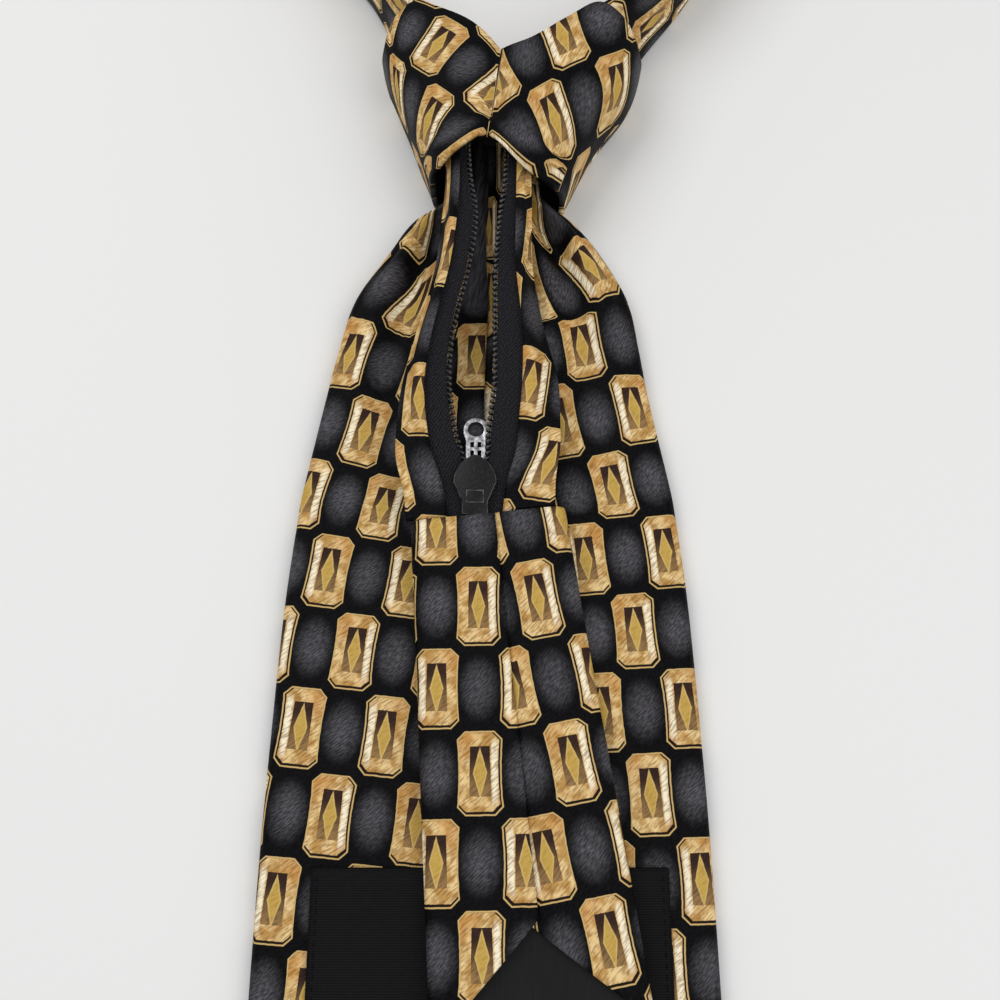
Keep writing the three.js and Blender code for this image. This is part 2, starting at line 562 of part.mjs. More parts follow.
// Pull: a flat tab with a ring end, two slots in its stem and a window that the lug stands in
const pull = new THREE.Group();
const pivotDrop = plateOut + LUG_PASSAGE / 2;
pull.position.set(0, PIVOT_Y, -pivotDrop);
pull.rotation.x = -SLIDER_PITCH - PULL_REST;
slider.add(pull);
const pullHalf = PULL_WIDTH / 2;
const stemHalf = pullHalf * PULL_TAPER;
const windowEnd = LUG_LENGTH / 2 - PIVOT_Y + PULL_CLEAR;
const barHalf = PULL_BAR / 2;
const stemEnd = PULL_REACH - RING / 2;
const ringNeck = PULL_REACH - RING * RING_NECK;
const outline = new THREE.Shape()
  .moveTo(-pullHalf, -barHalf)
  .lineTo(pullHalf, -barHalf)
  .lineTo(stemHalf, PULL_REACH * STEM_FROM)
  .lineTo(stemHalf, stemEnd)
  .lineTo(RING / 2, ringNeck)
  .absarc(0, PULL_REACH, RING / 2, 0, Math.PI)
  .lineTo(-RING / 2, ringNeck)
  .lineTo(-stemHalf, stemEnd)
  .lineTo(-stemHalf, PULL_REACH * STEM_FROM);
outline.holes.push(new THREE.Path().absarc(0, PULL_REACH, RING_HOLE / 2, 0, 2 * Math.PI, true));
function window(x, low, wide, high) {
  const through = new THREE.BoxGeometry(wide, high - low, PULL_THICK * 2);
  return solid(through.translate(x, (low + high) / 2, 0));
}
const tab = solid(slab(outline, PULL_THICK, -PULL_THICK / 2));
const slots = [-1, 1].flatMap((side) => {
  const middle = (side * (SLOT + SLOT_BAR)) / 2;
  return [
    window(middle, windowEnd + SLOT_BAR, SLOT, stemEnd - SLOT_END - SLOT_BAR),
    window(middle, stemEnd - SLOT_END, SLOT, stemEnd - SLOT_BAR / 2),
  ];
});
const openings = [window(0, barHalf, PULL_WINDOW, windowEnd), ...slots];
const cutTab = openings.reduce((body, opening) => body.subtract(opening), tab);
add("pull_tab", geometryOf(cutTab), nickel, pull);

// Knot: a hollow ring of cloth whose mouth and top edges follow the arch and the lobes
const KNOT_STEPS = 32;
const turns = Array.from({ length: KNOT_STEPS }, (_, k) => k);
turns.push(KNOT_STEPS / 4 - 0.5, KNOT_STEPS / 4 + 0.5); // two more beside the crease
const knotTurns = turns.sort((a, b) => a - b).map((k) => (2 * Math.PI * k) / KNOT_STEPS);
const waist = KNOT_HEIGHT * KNOT_WAIST;
function knotPoint(turn, share) {
  const [c, s] = [Math.cos(turn), Math.sin(turn)];
  const power = 2 / (s >= 0 ? UPPER_ROUND : LOWER_ROUND);
  const [across, up] = [Math.sign(c) * Math.abs(c) ** power, Math.sign(s) * Math.abs(s) ** power];
  const [lobe, column] = across < 0 ? [LEFT_LOBE, "left"] : [RIGHT_LOBE, "right"];
  const middleTop = up > 0 ? read(lobe, "top", Math.abs(across)) : KNOT_FRONT_TOP;
  const top = lerp(read(lobe, "top", 1), middleTop, Math.min(1, Math.abs(up) / EDGE_TURN));
  const arch = s > 0 ? (1 - Math.abs(across)) ** MOUTH_POINT : 0;
  const low = lerp(lerp(MOUTH_LEFT, MOUTH_RIGHT, (1 + across) / 2), MOUTH_CREASE, arch);
  const y = lerp(low, KNOT_LENGTH * top, share);
  const at = y / KNOT_LENGTH;
  const half = KNOT_WIDTH * read(KNOT_SECTIONS, column, at);
  const crease = KNOT_WIDTH * read(KNOT_SECTIONS, "crease", at);
  const x = lerp(crease, half * Math.sign(across), Math.abs(across));
  const roof = KNOT_HEIGHT * read(KNOT_SECTIONS, "height", at);
  const groove = s > 0 ? CREASE_DEPTH * Math.exp(-((across / CREASE_WIDTH) ** 2)) : 0;
  const z = up >= 0 ? lerp(waist, roof, up) - groove : waist * (1 + up);
  return new THREE.Vector3(x, KNOT_BASE + y, z);
}
const KNOT_ROWS = 11;
const knotShares = Array.from({ length: KNOT_ROWS + 1 }, (_, i) => 1 - i / KNOT_ROWS);
const knotRows = knotShares.map((share) => knotTurns.map((turn) => knotPoint(turn, share)));
add("knot", sheet(knotRows, KNOT_WALL, true), silk);

// Neckband: a folded band with a slit along the middle of its inner side
const bandShares = BAND_ROUTE.map((row, k) => ({ ...row, at: k / (BAND_ROUTE.length - 1) }));
const bandCurve = new THREE.CatmullRomCurve3(
  BAND_ROUTE.map(({ x, y }) => new THREE.Vector3(LOOP_X + LOOP_WIDTH * x, LOOP_START + LOOP_LENGTH * y, 0)),
);
const bandFlat = (BAND_WIDTH - BAND_THICK) / 2;
const bandFold = [0, 0.25, 0.5, 0.75, 1].map((turn) => {
  const angle = Math.PI * (turn - 0.5);
  return [bandFlat + (BAND_THICK / 2) * Math.cos(angle), (BAND_THICK / 2) * Math.sin(angle)];
});
const bandHalf = [[BAND_SLIT / 2, -BAND_THICK / 2], ...bandFold, [0, BAND_THICK / 2]];
const bandSection = [...bandHalf.map(([w, n]) => [-w, n]), ...bandHalf.slice(0, -1).reverse()];
const up = new THREE.Vector3(0, 0, 1);
const BAND_STEPS = 44;
const bandRows = Array.from({ length: BAND_STEPS + 1 }, (_, k) => {
  const share = k / BAND_STEPS;
  const centre = bandCurve.getPoint(share);
  centre.z = BAND_WIDTH / 2 + KNOT_HEIGHT * Math.max(0, read(bandShares, "high", share));
  const ahead = bandCurve.getTangent(share);
  const inward = ahead.clone().cross(up).normalize();
  const turn = (Math.PI / 2) * clamp(read(bandShares, "turn", share), 0, 1);
  const width = inward.clone().multiplyScalar(Math.cos(turn)).addScaledVector(up, Math.sin(turn));
  const face = up.clone().multiplyScalar(Math.cos(turn)).addScaledVector(inward, -Math.sin(turn));
  return bandSection.map(([w, n]) => centre.clone().addScaledVector(width, w).addScaledVector(face, n));
});
add("neckband", sheet(bandRows, CLOTH), silk);

export default tie;
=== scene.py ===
import math

import bmesh
import bpy
import numpy as np
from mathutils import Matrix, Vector, noise


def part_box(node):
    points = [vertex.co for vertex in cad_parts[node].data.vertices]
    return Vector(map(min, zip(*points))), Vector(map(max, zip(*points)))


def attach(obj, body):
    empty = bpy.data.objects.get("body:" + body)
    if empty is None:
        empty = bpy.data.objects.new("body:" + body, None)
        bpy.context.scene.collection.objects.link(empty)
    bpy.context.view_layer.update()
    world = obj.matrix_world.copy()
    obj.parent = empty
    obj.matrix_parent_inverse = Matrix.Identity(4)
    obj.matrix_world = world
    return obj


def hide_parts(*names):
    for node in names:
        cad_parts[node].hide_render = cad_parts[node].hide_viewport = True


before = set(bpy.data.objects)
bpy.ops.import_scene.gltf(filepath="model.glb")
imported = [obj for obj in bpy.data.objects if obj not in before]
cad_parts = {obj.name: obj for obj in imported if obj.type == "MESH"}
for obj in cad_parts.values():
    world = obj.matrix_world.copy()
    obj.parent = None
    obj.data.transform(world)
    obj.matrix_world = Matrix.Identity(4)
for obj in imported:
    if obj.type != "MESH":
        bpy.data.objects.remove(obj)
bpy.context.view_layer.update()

# Camera and table: the tie lies on its front on a plain white table, seen from about 26 cm above its
# slider, with the camera tilted so that the knot is farther off than the blade.
TILT = math.radians(18.3)
DISTANCE = 0.262
CAMERA_X = 0.0031
TABLE_REACH = 3.0
TABLE_TOP = -0.0002
camera = bpy.data.objects.new("camera", bpy.data.cameras.new("camera"))
camera.data.lens = 39.6
camera.data.sensor_width = 36
camera.data.clip_start = 0.01
camera.location = (CAMERA_X, -DISTANCE * math.sin(TILT), DISTANCE * math.cos(TILT))
camera.rotation_euler = (TILT, 0, 0)
bpy.context.scene.collection.objects.link(camera)
bpy.context.scene.camera = camera
bpy.context.scene.view_settings.view_transform = "Standard"

table_mesh = bpy.data.meshes.new("table")
corners = [(x * TABLE_REACH, y * TABLE_REACH, TABLE_TOP) for x, y in ((-1, -1), (1, -1), (1, 1), (-1, 1))]
table_mesh.from_pydata(corners, [], [(0, 1, 2, 3)])
table = bpy.data.objects.new("table", table_mesh)
bpy.context.scene.collection.objects.link(table)
table_paint = bpy.data.materials.new("table_paint")
table_paint.use_nodes = True
table_shader = table_paint.node_tree.nodes["Principled BSDF"]
table_shader.inputs["Base Color"].default_value = (0.82, 0.82, 0.81, 1)
table_shader.inputs["Roughness"].default_value = 0.7
table_shader.inputs["Specular IOR Level"].default_value = 0.2
table_mesh.materials.append(table_paint)

world = bpy.data.worlds.new("room")
world.use_nodes = True
world.node_tree.nodes["Background"].inputs["Color"].default_value = (0.985, 0.99, 1.0, 1)
world.node_tree.nodes["Background"].inputs["Strength"].default_value = 0.5
bpy.context.scene.world = world
for name, place, side, watts in (
    ("window_light", (-0.55, 0.35, 0.95), 0.8, 5.0),
    ("fill_light", (0.6, -0.3, 0.9), 1.0, 4.6),
):
    light = bpy.data.lights.new(name, "AREA")
    light.size = side
    light.energy = watts
    lamp = bpy.data.objects.new(name, light)
    lamp.location = place
    lamp.rotation_euler = (-Vector(place)).to_track_quat("-Z", "Y").to_euler()
    bpy.context.scene.collection.objects.link(lamp)

# Wide blade: printed silk twill over a soft interlining, folded round so that both edges meet in a
# lapped seam down its back. Its upper end is gathered into the knot, and its point is left parted.
CLOTH = 1.0
GAP = 0.3
LAP = 3.0
LAP_FLAT = 0.1
LAP_RISE = 0.2
BLADE_WIDTH = 101.0
BLADE_THICK = 4.6
BLADE_TOP = 96.0
BLADE_RUN = 426.0
BLADE_POINT = 50.0
BLADE_PARTING = 40.0
BLADE_CENTRE = 2.0
FOLD_DEPTH = 5.0
KNOT_WALL = 1.3
SEAM_ASIDE, SEAM_TOP_ASIDE = 2.2, 1.2
BLADE_MOTIFS, PRINT_STRAIGHT = ((-29.5, -37.2), (33.6, -32.4)), 12.0
# The share of the run, then width, lift, depth of the gathers and shift to the mouth, as shares.
BLADE_SECTIONS = [
    (0, 0.22, 1, 0.7, 1),
    (0.043, 0.235, 1, 0.8, 1),
    (0.05, 0.29, 1, 0.9, 0.8),
    (0.059, 0.4, 0.95, 1, 0.6),
    (0.077, 0.52, 0.7, 0.95, 0.8),
    (0.106, 0.67, 0.35, 0.75, 0.5),
    (0.136, 0.73, 0.1, 0.5, 0.2),
    (0.167, 0.775, 0, 0.3, 0),
    (0.225, 0.865, 0, 0, 0),
    (0.238, 0.877, 0, 0, 0),
    (0.282, 0.91, 0, 0, 0),
    (0.336, 0.932, 0, 0, 0),
    (0.437, 0.957, 0, 0, 0),
    (1, 1, 0, 0, 0),
]


def along(table, column, at):
    """A column of a table, read between its rows on a smooth curve through them."""
    table = np.array(table, float)
    places, values = table[:, 0], table[:, column]
    wide, rise = np.diff(places), np.diff(values)
    slopes = np.empty(len(places))
    slopes[0], slopes[-1] = rise[0] / wide[0], rise[-1] / wide[-1]
    slopes[1:-1] = (values[2:] - values[:-2]) / (places[2:] - places[:-2])
    k = np.clip(np.searchsorted(places, at, side="right") - 1, 0, len(places) - 2)
    span = wide[k]
    t = np.clip((at - places[k]) / span, 0, 1)
    ease = 3 * t**2 - 2 * t**3
    bend = span * (slopes[k] * (t**3 - 2 * t**2 + t) + slopes[k + 1] * (t**3 - t**2))
    return values[k] * (1 - ease) + values[k + 1] * ease + bend


def mix(low, high, share):
    return low + (high - low) * share


def smooth(value, low, high):
    t = np.clip((value - low) / (high - low), 0, 1)
    return t * t * (3 - 2 * t)


def straight_down(y):
    return 0 * y


def folded_shell(half, thick, base, shift, shoulder, point, parting, shares, steps, seam=straight_down):
    """The points of a folded, pointed shell in rows from its upper end, each from the left back panel's
    edge round the front to the right panel's, and each point's panel: -1 and 1 at the back, 0 in front.
    The left panel laps over the right one along a seam in the middle, moved aside by seam."""
    panel, fold, front = steps
    across = np.concatenate([np.arange(panel) / panel, np.ones(fold + 1)])
    turn = np.concatenate([np.zeros(panel), np.arange(fold + 1) / fold])
    middle = 2 * np.arange(1, front) / front - 1
    side = np.concatenate([-np.ones(panel + fold + 1), np.ones(front - 1), np.ones(panel + fold + 1)])
    across = np.concatenate([across, middle, across[::-1]])
    turn = np.concatenate([turn, np.ones(front - 1), turn[::-1]])
    is_front = np.zeros(len(side), bool)
    is_front[panel + fold + 1 : panel + fold + front] = True
    is_fold = ~is_front & (np.abs(across) == 1)
    is_back = ~is_front & ~is_fold
    end = np.where(is_front, -point, np.where(is_back, parting, 0)) * (1 - np.abs(across))
    y = (shoulder + end)[None, :] * shares[:, None]
    wide, high = half(y), thick(y)
    flat = wide - high / 2
    edge_x = np.where(side < 0, LAP / 2, -LAP / 2)
    x = np.where(is_front, across * flat, mix(edge_x + seam(y), side * flat, across))
    angle = np.pi * (0.5 - turn)
    under = 1 - np.clip((across - LAP_FLAT) / LAP_RISE, 0, 1)
    dip = np.where(is_back & (side > 0), (CLOTH + GAP) * under, 0)
    z = base(x, y) + np.where(is_front, 0, np.where(is_fold, (high / 2) * (1 + np.sin(angle)), high - dip))
    x = x + np.where(is_fold, side * (high / 2) * np.cos(angle), 0) + shift(y)
    return np.stack([x, y, z], -1), np.where(is_front, 0, side)


def blade_at(y):
    return np.clip(-y / BLADE_RUN, 0, 1)


def blade_half(y):
    return BLADE_WIDTH / 2 * along(BLADE_SECTIONS, 1, blade_at(y))


def blade_base(x, y):
    at = blade_at(y)
    place = np.clip((np.abs(x) / blade_half(y) - 0.2) / 0.8, 0, 1)
    wave = 0.5 - 0.5 * np.cos(4 * np.pi * place)
    lift = (KNOT_WALL + GAP) * np.maximum(0, along(BLADE_SECTIONS, 2, at))
    return lift + FOLD_DEPTH * np.maximum(0, along(BLADE_SECTIONS, 3, at)) * wave


def blade_seam(y):
    """The seam lies left of the middle under the zip, and a little more so near the knot."""
    up = y + BLADE_TOP
    return -SEAM_ASIDE * smooth(up, 0, 12) - SEAM_TOP_ASIDE * smooth(up, 50, 62)


def ripple(points, depth, size, seed):
    """Moves points up or down a little, as cloth lies that nobody pressed."""
    for index in np.ndindex(points.shape[:2]):
        x, y, z = points[index]
        points[index][2] += depth * noise.noise(Vector((x / size, y / size, z / size + seed)))


def edge_places(flat, edge, leans):
    """Places on the printed cloth, which follows a side fold: leans is its lean to the fold, row by row."""
    step = np.linalg.norm(np.diff(edge, axis=0), axis=1)
    run = np.concatenate([[0], np.cumsum(step)])
    slant = np.sin(np.radians(leans))
    swerve = np.concatenate([[0], np.cumsum(step * (slant[1:] + slant[:-1]) / 2)])
    ahead = np.gradient(edge, axis=0)
    ahead /= np.linalg.norm(ahead, axis=1)[:, None]
    k = np.array([np.argmin(((edge - p) ** 2).sum(1)) for p in flat])
    away = flat - edge[k]
    past = (away * ahead[k]).sum(1)
    inward = np.abs(away[:, 0] * ahead[k, 1] - away[:, 1] * ahead[k, 0])
    return inward, -(run[k] + past), swerve[k] + past * slant[k], slant[k]


def print_on_shell(points, panels, motifs, leans, straight=None):
    """Where each point of a folded shell lies on the printed cloth. motifs holds the middle of one motif
    on the left and on the right back panel. straight is the height above which the print in the middle
    no longer follows the side folds."""
    found = []
    flat = points[..., :2].reshape(-1, 2)
    panels = np.broadcast_to(panels, points.shape[:2])
    behind = (panels == 0).ravel()
    for sign, motif, lean in zip((-1, 1), motifs, leans):
        outer = (points[0, :, 0] * sign).argmax()
        edge = points[:, outer, :2].copy()

        def places(line):
            spots = np.vstack([flat, [motif]])
            inward, height, swerve, slant = edge_places(spots, line, lean(line[:, 1]))
            inward[:-1][behind] *= -1
            u = -sign * (inward * np.sqrt(1 - slant**2) + swerve)
            w = inward * slant + height
            return np.stack([u - u[-1], w - w[-1]], -1)[:-1]

        spots = places(edge)
        if straight is not None:
            first = np.argmax(edge[:, 1] < straight)
            ahead = edge[first + 1] - edge[first]
            high = edge[:first, 1] - edge[first, 1]
            edge[:first] = edge[first] + high[:, None] / ahead[1] * ahead
            share = smooth(np.abs(flat[:, 0]), 9, 19)[:, None]
            high = smooth(flat[:, 1], straight, straight + 12)[:, None]
            spots = mix(spots, places(edge), high * (1 - share))
        found.append(spots.reshape(*points.shape[:2], 2))
    left, right = found
    row, column = len(points) // 2, points.shape[1] // 2
    miss = (left - right)[row, column]
    down = round(miss[1] / PRINT_DOWN)
    aside = round(miss[0] / (PRINT_ASIDE / 2) / 2 - down % 2 / 2) * 2 + down % 2
    right = right + (aside * PRINT_ASIDE / 2, down * PRINT_DOWN)
    low, high = points[..., 0].min(1)[:, None], points[..., 0].max(1)[:, None]
    share = np.clip((points[..., 0] - low) / (high - low), 0, 1)
    share = np.where(panels == 0, share, (panels + 1) / 2)[..., None]
    return mix(left, right, share)


# The print is a half-drop repeat of spool-shaped motifs, with soft charcoal pillows between them. Each
# motif is a gold frame round a dark window with an ochre lozenge. Sizes are half widths and half heights.
PRINT_ASIDE = 18.5
PRINT_DOWN = 18.0
SPOOL, SPOOL_TALL, SPOOL_CUT, SPOOL_BOW = 5.05, 8.75, 1.9, 0.5
FRAME, FRAME_TALL, FRAME_CUT = 4.55, 8.15, 1.75
FRAME_X, FRAME_Y = -0.2, 0.25
WINDOW, WINDOW_TALL, WINDOW_Y, WINDOW_SLANT = 2.2, 5.2, 0.35, 0.02
LOZENGE, LOZENGE_TALL = 1.5, 5.3
PILLOW, PILLOW_TALL = 5.1, 7.8
HAND_DRIFT = 0.16


class Dye:
    """A shader node's output, which Python's operators turn into more nodes."""

    def __init__(self, tree, socket=None):
        self.tree, self.socket = tree, socket

    def node(self, kind, settings=(), sockets=(), out=0):
        made = self.tree.nodes.new("ShaderNode" + kind)
        for name, value in dict(settings).items():
            setattr(made, name, value)
        for name, value in dict(sockets).items():
            if isinstance(value, Dye):
                self.tree.links.new(value.socket, made.inputs[name])
            else:
                made.inputs[name].default_value = value
        return Dye(self.tree, made.outputs[out])

    def maths(self, operation, *values):
        return self.node("Math", {"operation": operation}, enumerate(values))

    def __add__(self, other):
        return self.maths("ADD", self, other)

    def __sub__(self, other):
        return self.maths("SUBTRACT", self, other)

    def __rsub__(self, other):
        return self.maths("SUBTRACT", other, self)

    def __mul__(self, other):
        return self.maths("MULTIPLY", self, other)

    def __truediv__(self, other):
        return self.maths("DIVIDE", self, other)

    __radd__ = __add__

    def size(self):
        return self.maths("ABSOLUTE", self)

    def whole(self):
        return self.maths("FLOOR", self + 0.5)

    def least(self, other):
        return self.maths("MINIMUM", self, other)

    def most(self, other):
        return self.maths("MAXIMUM", self, other)

    def rise(self, low, high):
        return self.node("MapRange", {"interpolation_type": "SMOOTHSTEP"}, {0: self, 1: low, 2: high})

    def over(self, under, colour):
        """colour laid over under, as much as this value says."""
        return self.node("Mix", {"data_type": "RGBA"}, {0: self, 6: under, 7: colour}, out=2)

    def axis(self, index):
        return self.node("SeparateXYZ", {}, {0: self}, out=index)

    def mottle(self, scale, detail, flat=False, out=0):
        """Noise over the places that this value holds. Places on the cloth's own plane are flat."""
        settings = {"noise_dimensions": "2D"} if flat else {}
        return self.node("TexNoise", settings, {"Vector": self, "Scale": scale, "Detail": detail}, out)

    def feed(self, shader, socket):
        self.tree.links.new(self.socket, shader.inputs[socket])

    def emboss(self, shader, strength, depth):
        """Raises the surface where this value is high, by depth in metres at the most."""
        raised = self.node("Bump", {}, {"Strength": strength, "Distance": depth, "Height": self})
        raised.feed(shader, "Normal")


def dyed(red, green, blue):
    """A shader's colour from red, green and blue out of 255, as a screen shows them."""
    shares = [((c / 255 + 0.055) / 1.055) ** 2.4 if c > 10 else c / 3294 for c in (red, green, blue)]
    return (*shares, 1)


def finish_named(name, roughness, metallic=0.0, specular=0.5):
    material = bpy.data.materials.new(name)
    material.use_nodes = True
    shader = material.node_tree.nodes["Principled BSDF"]
    shader.inputs["Roughness"].default_value = roughness
    shader.inputs["Metallic"].default_value = metallic
    shader.inputs["Specular IOR Level"].default_value = specular
    return material, shader, Dye(material.node_tree)


silk, silk_shader, dye = finish_named("printed_silk", 0.5, specular=0.06)
on_cloth = dye.node("UVMap", {"uv_map": "print"})
grain = on_cloth.mottle(1400.0, 3.0, flat=True)
drift = on_cloth.mottle(320.0, 2.0, flat=True)
cloud = on_cloth.mottle(90.0, 2.0, flat=True)
hand = on_cloth.mottle(700.0, 1.0, flat=True, out=1)
hand_x = dye.node("SeparateColor", {}, {0: hand}, out=0)
hand_y = dye.node("SeparateColor", {}, {0: hand}, out=1)


def strokes(slope, across, length, detail=2.0):
    """Fine drawn lines at a slope in degrees: noise stretched along that direction of the cloth."""
    turned = (0, 0, math.radians(slope - 90))
    stretch = (1 / across, 1 / length, 1)
    laid = dye.node(
        "Mapping", {"vector_type": "TEXTURE"}, {"Vector": on_cloth, "Rotation": turned, "Scale": stretch}
    )
    return laid.mottle(1.0, detail, flat=True)


# Places in millimetres on the cloth, then in the nearest motif, which every other row mirrors.
x = on_cloth.axis(0) * 1000 + (hand_x - 0.5) * HAND_DRIFT
y = on_cloth.axis(1) * 1000 + (hand_y - 0.5) * HAND_DRIFT
row = (y / PRINT_DOWN).whole()
odd = row.maths("FRACT", row / 2)
slid = x + odd * PRINT_ASIDE
column = (slid / PRINT_ASIDE).whole()
x = slid - column * PRINT_ASIDE
y = y - row * PRINT_DOWN
other_side = 1 - odd * 4
mx = x * other_side


def spool(mx, y, half, tall, cut):
    """How far a place lies outside a spool shape, in millimetres, less inside it."""
    bow = (1 - (y / tall) * (y / tall)) * SPOOL_BOW
    side = mx.size() - (half - bow)
    corner = (mx.size() + y.size() - (half + tall - cut)) * math.sqrt(0.5)
    return side.most(y.size() - tall).most(corner)


outer = spool(mx, y, SPOOL, SPOOL_TALL, SPOOL_CUT)
body = spool(mx - FRAME_X, y - FRAME_Y, FRAME, FRAME_TALL, FRAME_CUT)
window = (mx.size() - WINDOW + y * WINDOW_SLANT).most((y - WINDOW_Y).size() - WINDOW_TALL)
lozenge = mx.size() / LOZENGE + (y / LOZENGE_TALL).size() - 1

ground = dyed(3, 2, 4)
beside = (PRINT_ASIDE / 2 - x.size()) / PILLOW
above = y / PILLOW_TALL
pillow = beside * beside + above * above
soft = (1 - pillow.rise(-0.7, 1.0)) * (0.8 + cloud * 1.2)
hatch = strokes(42, 3500, 760, 3.0).rise(0.36, 0.7)
colour = (soft * (0.35 + hatch * 0.65) + hatch * 0.03).least(1).over(ground, dyed(98, 96, 101))
gold_line = dyed(204, 172, 112)
colour = (1 - outer.rise(-0.06, 0.06)).over(colour, gold_line)
colour = (1 - outer.rise(-0.4, -0.24)).over(colour, dyed(28, 19, 13))
gold = drift.rise(0.34, 0.66).over(dyed(190, 148, 84), dyed(236, 206, 148))
lit = mx.rise(2.2, 2.7) * (1 - mx.rise(3.2, 4.2)) * (1 - y.size().rise(5.2, 7.6))
gold = (lit * 0.9).over(gold, dyed(255, 246, 218))
warm = (mx * -0.75 + y * 0.55).rise(2.4, 6.8) + (mx * 0.6 - y * 0.6).rise(4.0, 7.6) * 0.7
gold = (warm.least(1) * 0.6).over(gold, dyed(202, 142, 74))
drawn = strokes(40, 2500, 420).rise(0.42, 0.68)
gold = (drawn * 0.6).over(gold, dyed(130, 86, 42))
colour = (1 - body.rise(-0.08, 0.06)).over(colour, gold)
dark = (y * 0.1 + 0.5).rise(0.0, 0.9).over(dyed(150, 118, 76), dyed(48, 32, 28))
dark = (drawn * 0.5).over(dark, dyed(70, 48, 36))
ochre = (drawn * 0.4).over(dyed(196, 162, 82), dyed(150, 112, 50))
inside = (1 - lozenge.rise(-0.06, 0.06)).over(dark, ochre)
rim = lozenge.rise(-0.3, -0.05) * (1 - lozenge.rise(-0.05, 0.08))
inside = (rim * 0.35).over(inside, dyed(232, 204, 140))
inside = (window.rise(-0.32, -0.12) * 0.55 * y.rise(-4, 3)).over(inside, dyed(46, 30, 22))
colour = (1 - window.rise(-0.06, 0.06)).over(colour, inside)
colour.feed(silk_shader, "Base Color")
slanted = dye.node("Mapping", {}, {"Vector": on_cloth, "Rotation": (0, 0, math.radians(32))})
twill = dye.node(
    "TexWave",
    {"bands_direction": "X", "wave_profile": "SIN"},
    {"Vector": slanted, "Scale": 560.0, "Distortion": 0.6, "Detail": 1.0, "Detail Scale": 2.0},
)
(twill * 0.5 + grain * 0.4 + hatch * 0.3).emboss(silk_shader, 0.35, 0.00022)
(0.42 + twill * 0.12 + grain * 0.1).feed(silk_shader, "Roughness")

shade, shade_shader, dye = finish_named("black_interlining", 0.9, specular=0.2)
fleece = dye.node("TexNoise", {}, {"Scale": 900.0, "Detail": 3.0})
fleece.over(dyed(14, 13, 15), dyed(34, 33, 36)).feed(shade_shader, "Base Color")
fleece.emboss(shade_shader, 0.4, 0.0002)


def cloth(name, node, points, places, thick, ring=False, outside=silk, inside=shade, slot="silk"):
    """A cloth wall on a grid of points in millimetres, with its place on the printed cloth."""
    high, wide = points.shape[:2]
    ids = np.arange(high * wide).reshape(high, wide)
    if ring:
        ids = np.hstack([ids, ids[:, :1]])
        if places.shape[1] == wide:
            places = np.hstack([places, places[:, :1]])
    quads = np.stack([ids[:-1, :-1], ids[:-1, 1:], ids[1:, 1:], ids[1:, :-1]], -1).reshape(-1, 4)
    spots = np.stack([places[:-1, :-1], places[:-1, 1:], places[1:, 1:], places[1:, :-1]], -2).reshape(-1, 2)
    mesh = bpy.data.meshes.new(name)
    mesh.from_pydata((points.reshape(-1, 3) / 1000).tolist(), [], quads.tolist())
    layer = mesh.uv_layers.new(name="print")
    layer.data.foreach_set("uv", (spots / 1000).astype(np.float32).ravel())
    mesh.polygons.foreach_set("use_smooth", [True] * len(quads))
    mesh.materials.append(outside)
    mesh.materials.append(inside)
    piece = bpy.data.objects.new(name, mesh)
    bpy.context.scene.collection.objects.link(piece)
    wall = piece.modifiers.new("wall", "SOLIDIFY")
    wall.thickness = thick / 1000
    wall.offset = -1
    wall.material_offset = 1
    wall.material_offset_rim = 0
    wall.use_even_offset = False
    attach(piece, "tie")
    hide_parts(node)


blade_rows = np.concatenate([np.linspace(0, 0.3, 100), np.linspace(0.3, 1, 90)[1:]])
blade_points, blade_panels = folded_shell(
    blade_half,
    lambda y: np.full_like(y, BLADE_THICK),
    blade_base,
    lambda y: BLADE_CENTRE * along(BLADE_SECTIONS, 4, blade_at(y)),
    -BLADE_RUN,
    BLADE_POINT,
    BLADE_PARTING,
    blade_rows,
    (28, 6, 40),
    blade_seam,
)
blade_points[..., 1] += BLADE_TOP
blade_print = print_on_shell(
    blade_points,
    blade_panels,
    BLADE_MOTIFS,
    (lambda y: mix(0.5, 3.9, smooth(y, -230, -90)), lambda y: mix(0.4, 0.9, smooth(y, -230, -90))),
    straight=PRINT_STRAIGHT,
)
ripple(blade_points, 0.25, 26, 3.0)

# Near the knot the cloth bunches up. Between the tapes each back panel hangs by itself, so its print
# has motifs of its own there. The two tables give a height and how far out that stretch reaches.
HANG_LEFT = [(-7, -3), (13, -8), (28, -9.4), (48, -6.5), (60, -3.6), (92, -5)]
HANG_RIGHT = [(-7, -1), (16, 1.3), (40, 2.4), (55, 2.6), (68, 3.8), (92, 6)]
HANG_EDGE = 5.0
BUNCHED = 4.5
LEFT_MOTIF = (-2.6, 35.5)
RIGHT_MOTIF = (-3.2, 20.5)
NARROW_MOTIF, NARROWED, NARROW_STEP = (0.3, 35.0), 2.4, 10.7
PILLOW_HEIGHT, PILLOW_STRETCH = 62.0, 0.2
blade_x, blade_y = blade_points[..., 0], blade_points[..., 1]
blade_print[..., 1] -= BUNCHED * smooth(blade_y, 38, 56)
left_end = np.interp(blade_y, *np.array(HANG_LEFT).T)
right_end = np.interp(blade_y, *np.array(HANG_RIGHT).T)
between = (1 - smooth(left_end - blade_x, 0, HANG_EDGE)) * (1 - smooth(blade_x - right_end, 0, HANG_EDGE))
panel_side = np.broadcast_to(blade_panels, blade_x.shape)
hanging = between * smooth(blade_y, -4, 6) * (panel_side != 0)
upper = smooth(blade_y, 36, 46)
narrow = (blade_x - NARROW_MOTIF[0]) * NARROWED - NARROW_STEP * smooth(PILLOW_HEIGHT - blade_y, -2, 3)
right_x = mix(blade_x - RIGHT_MOTIF[0], narrow, upper)
right_y = blade_y - mix(RIGHT_MOTIF[1], NARROW_MOTIF[1], upper)
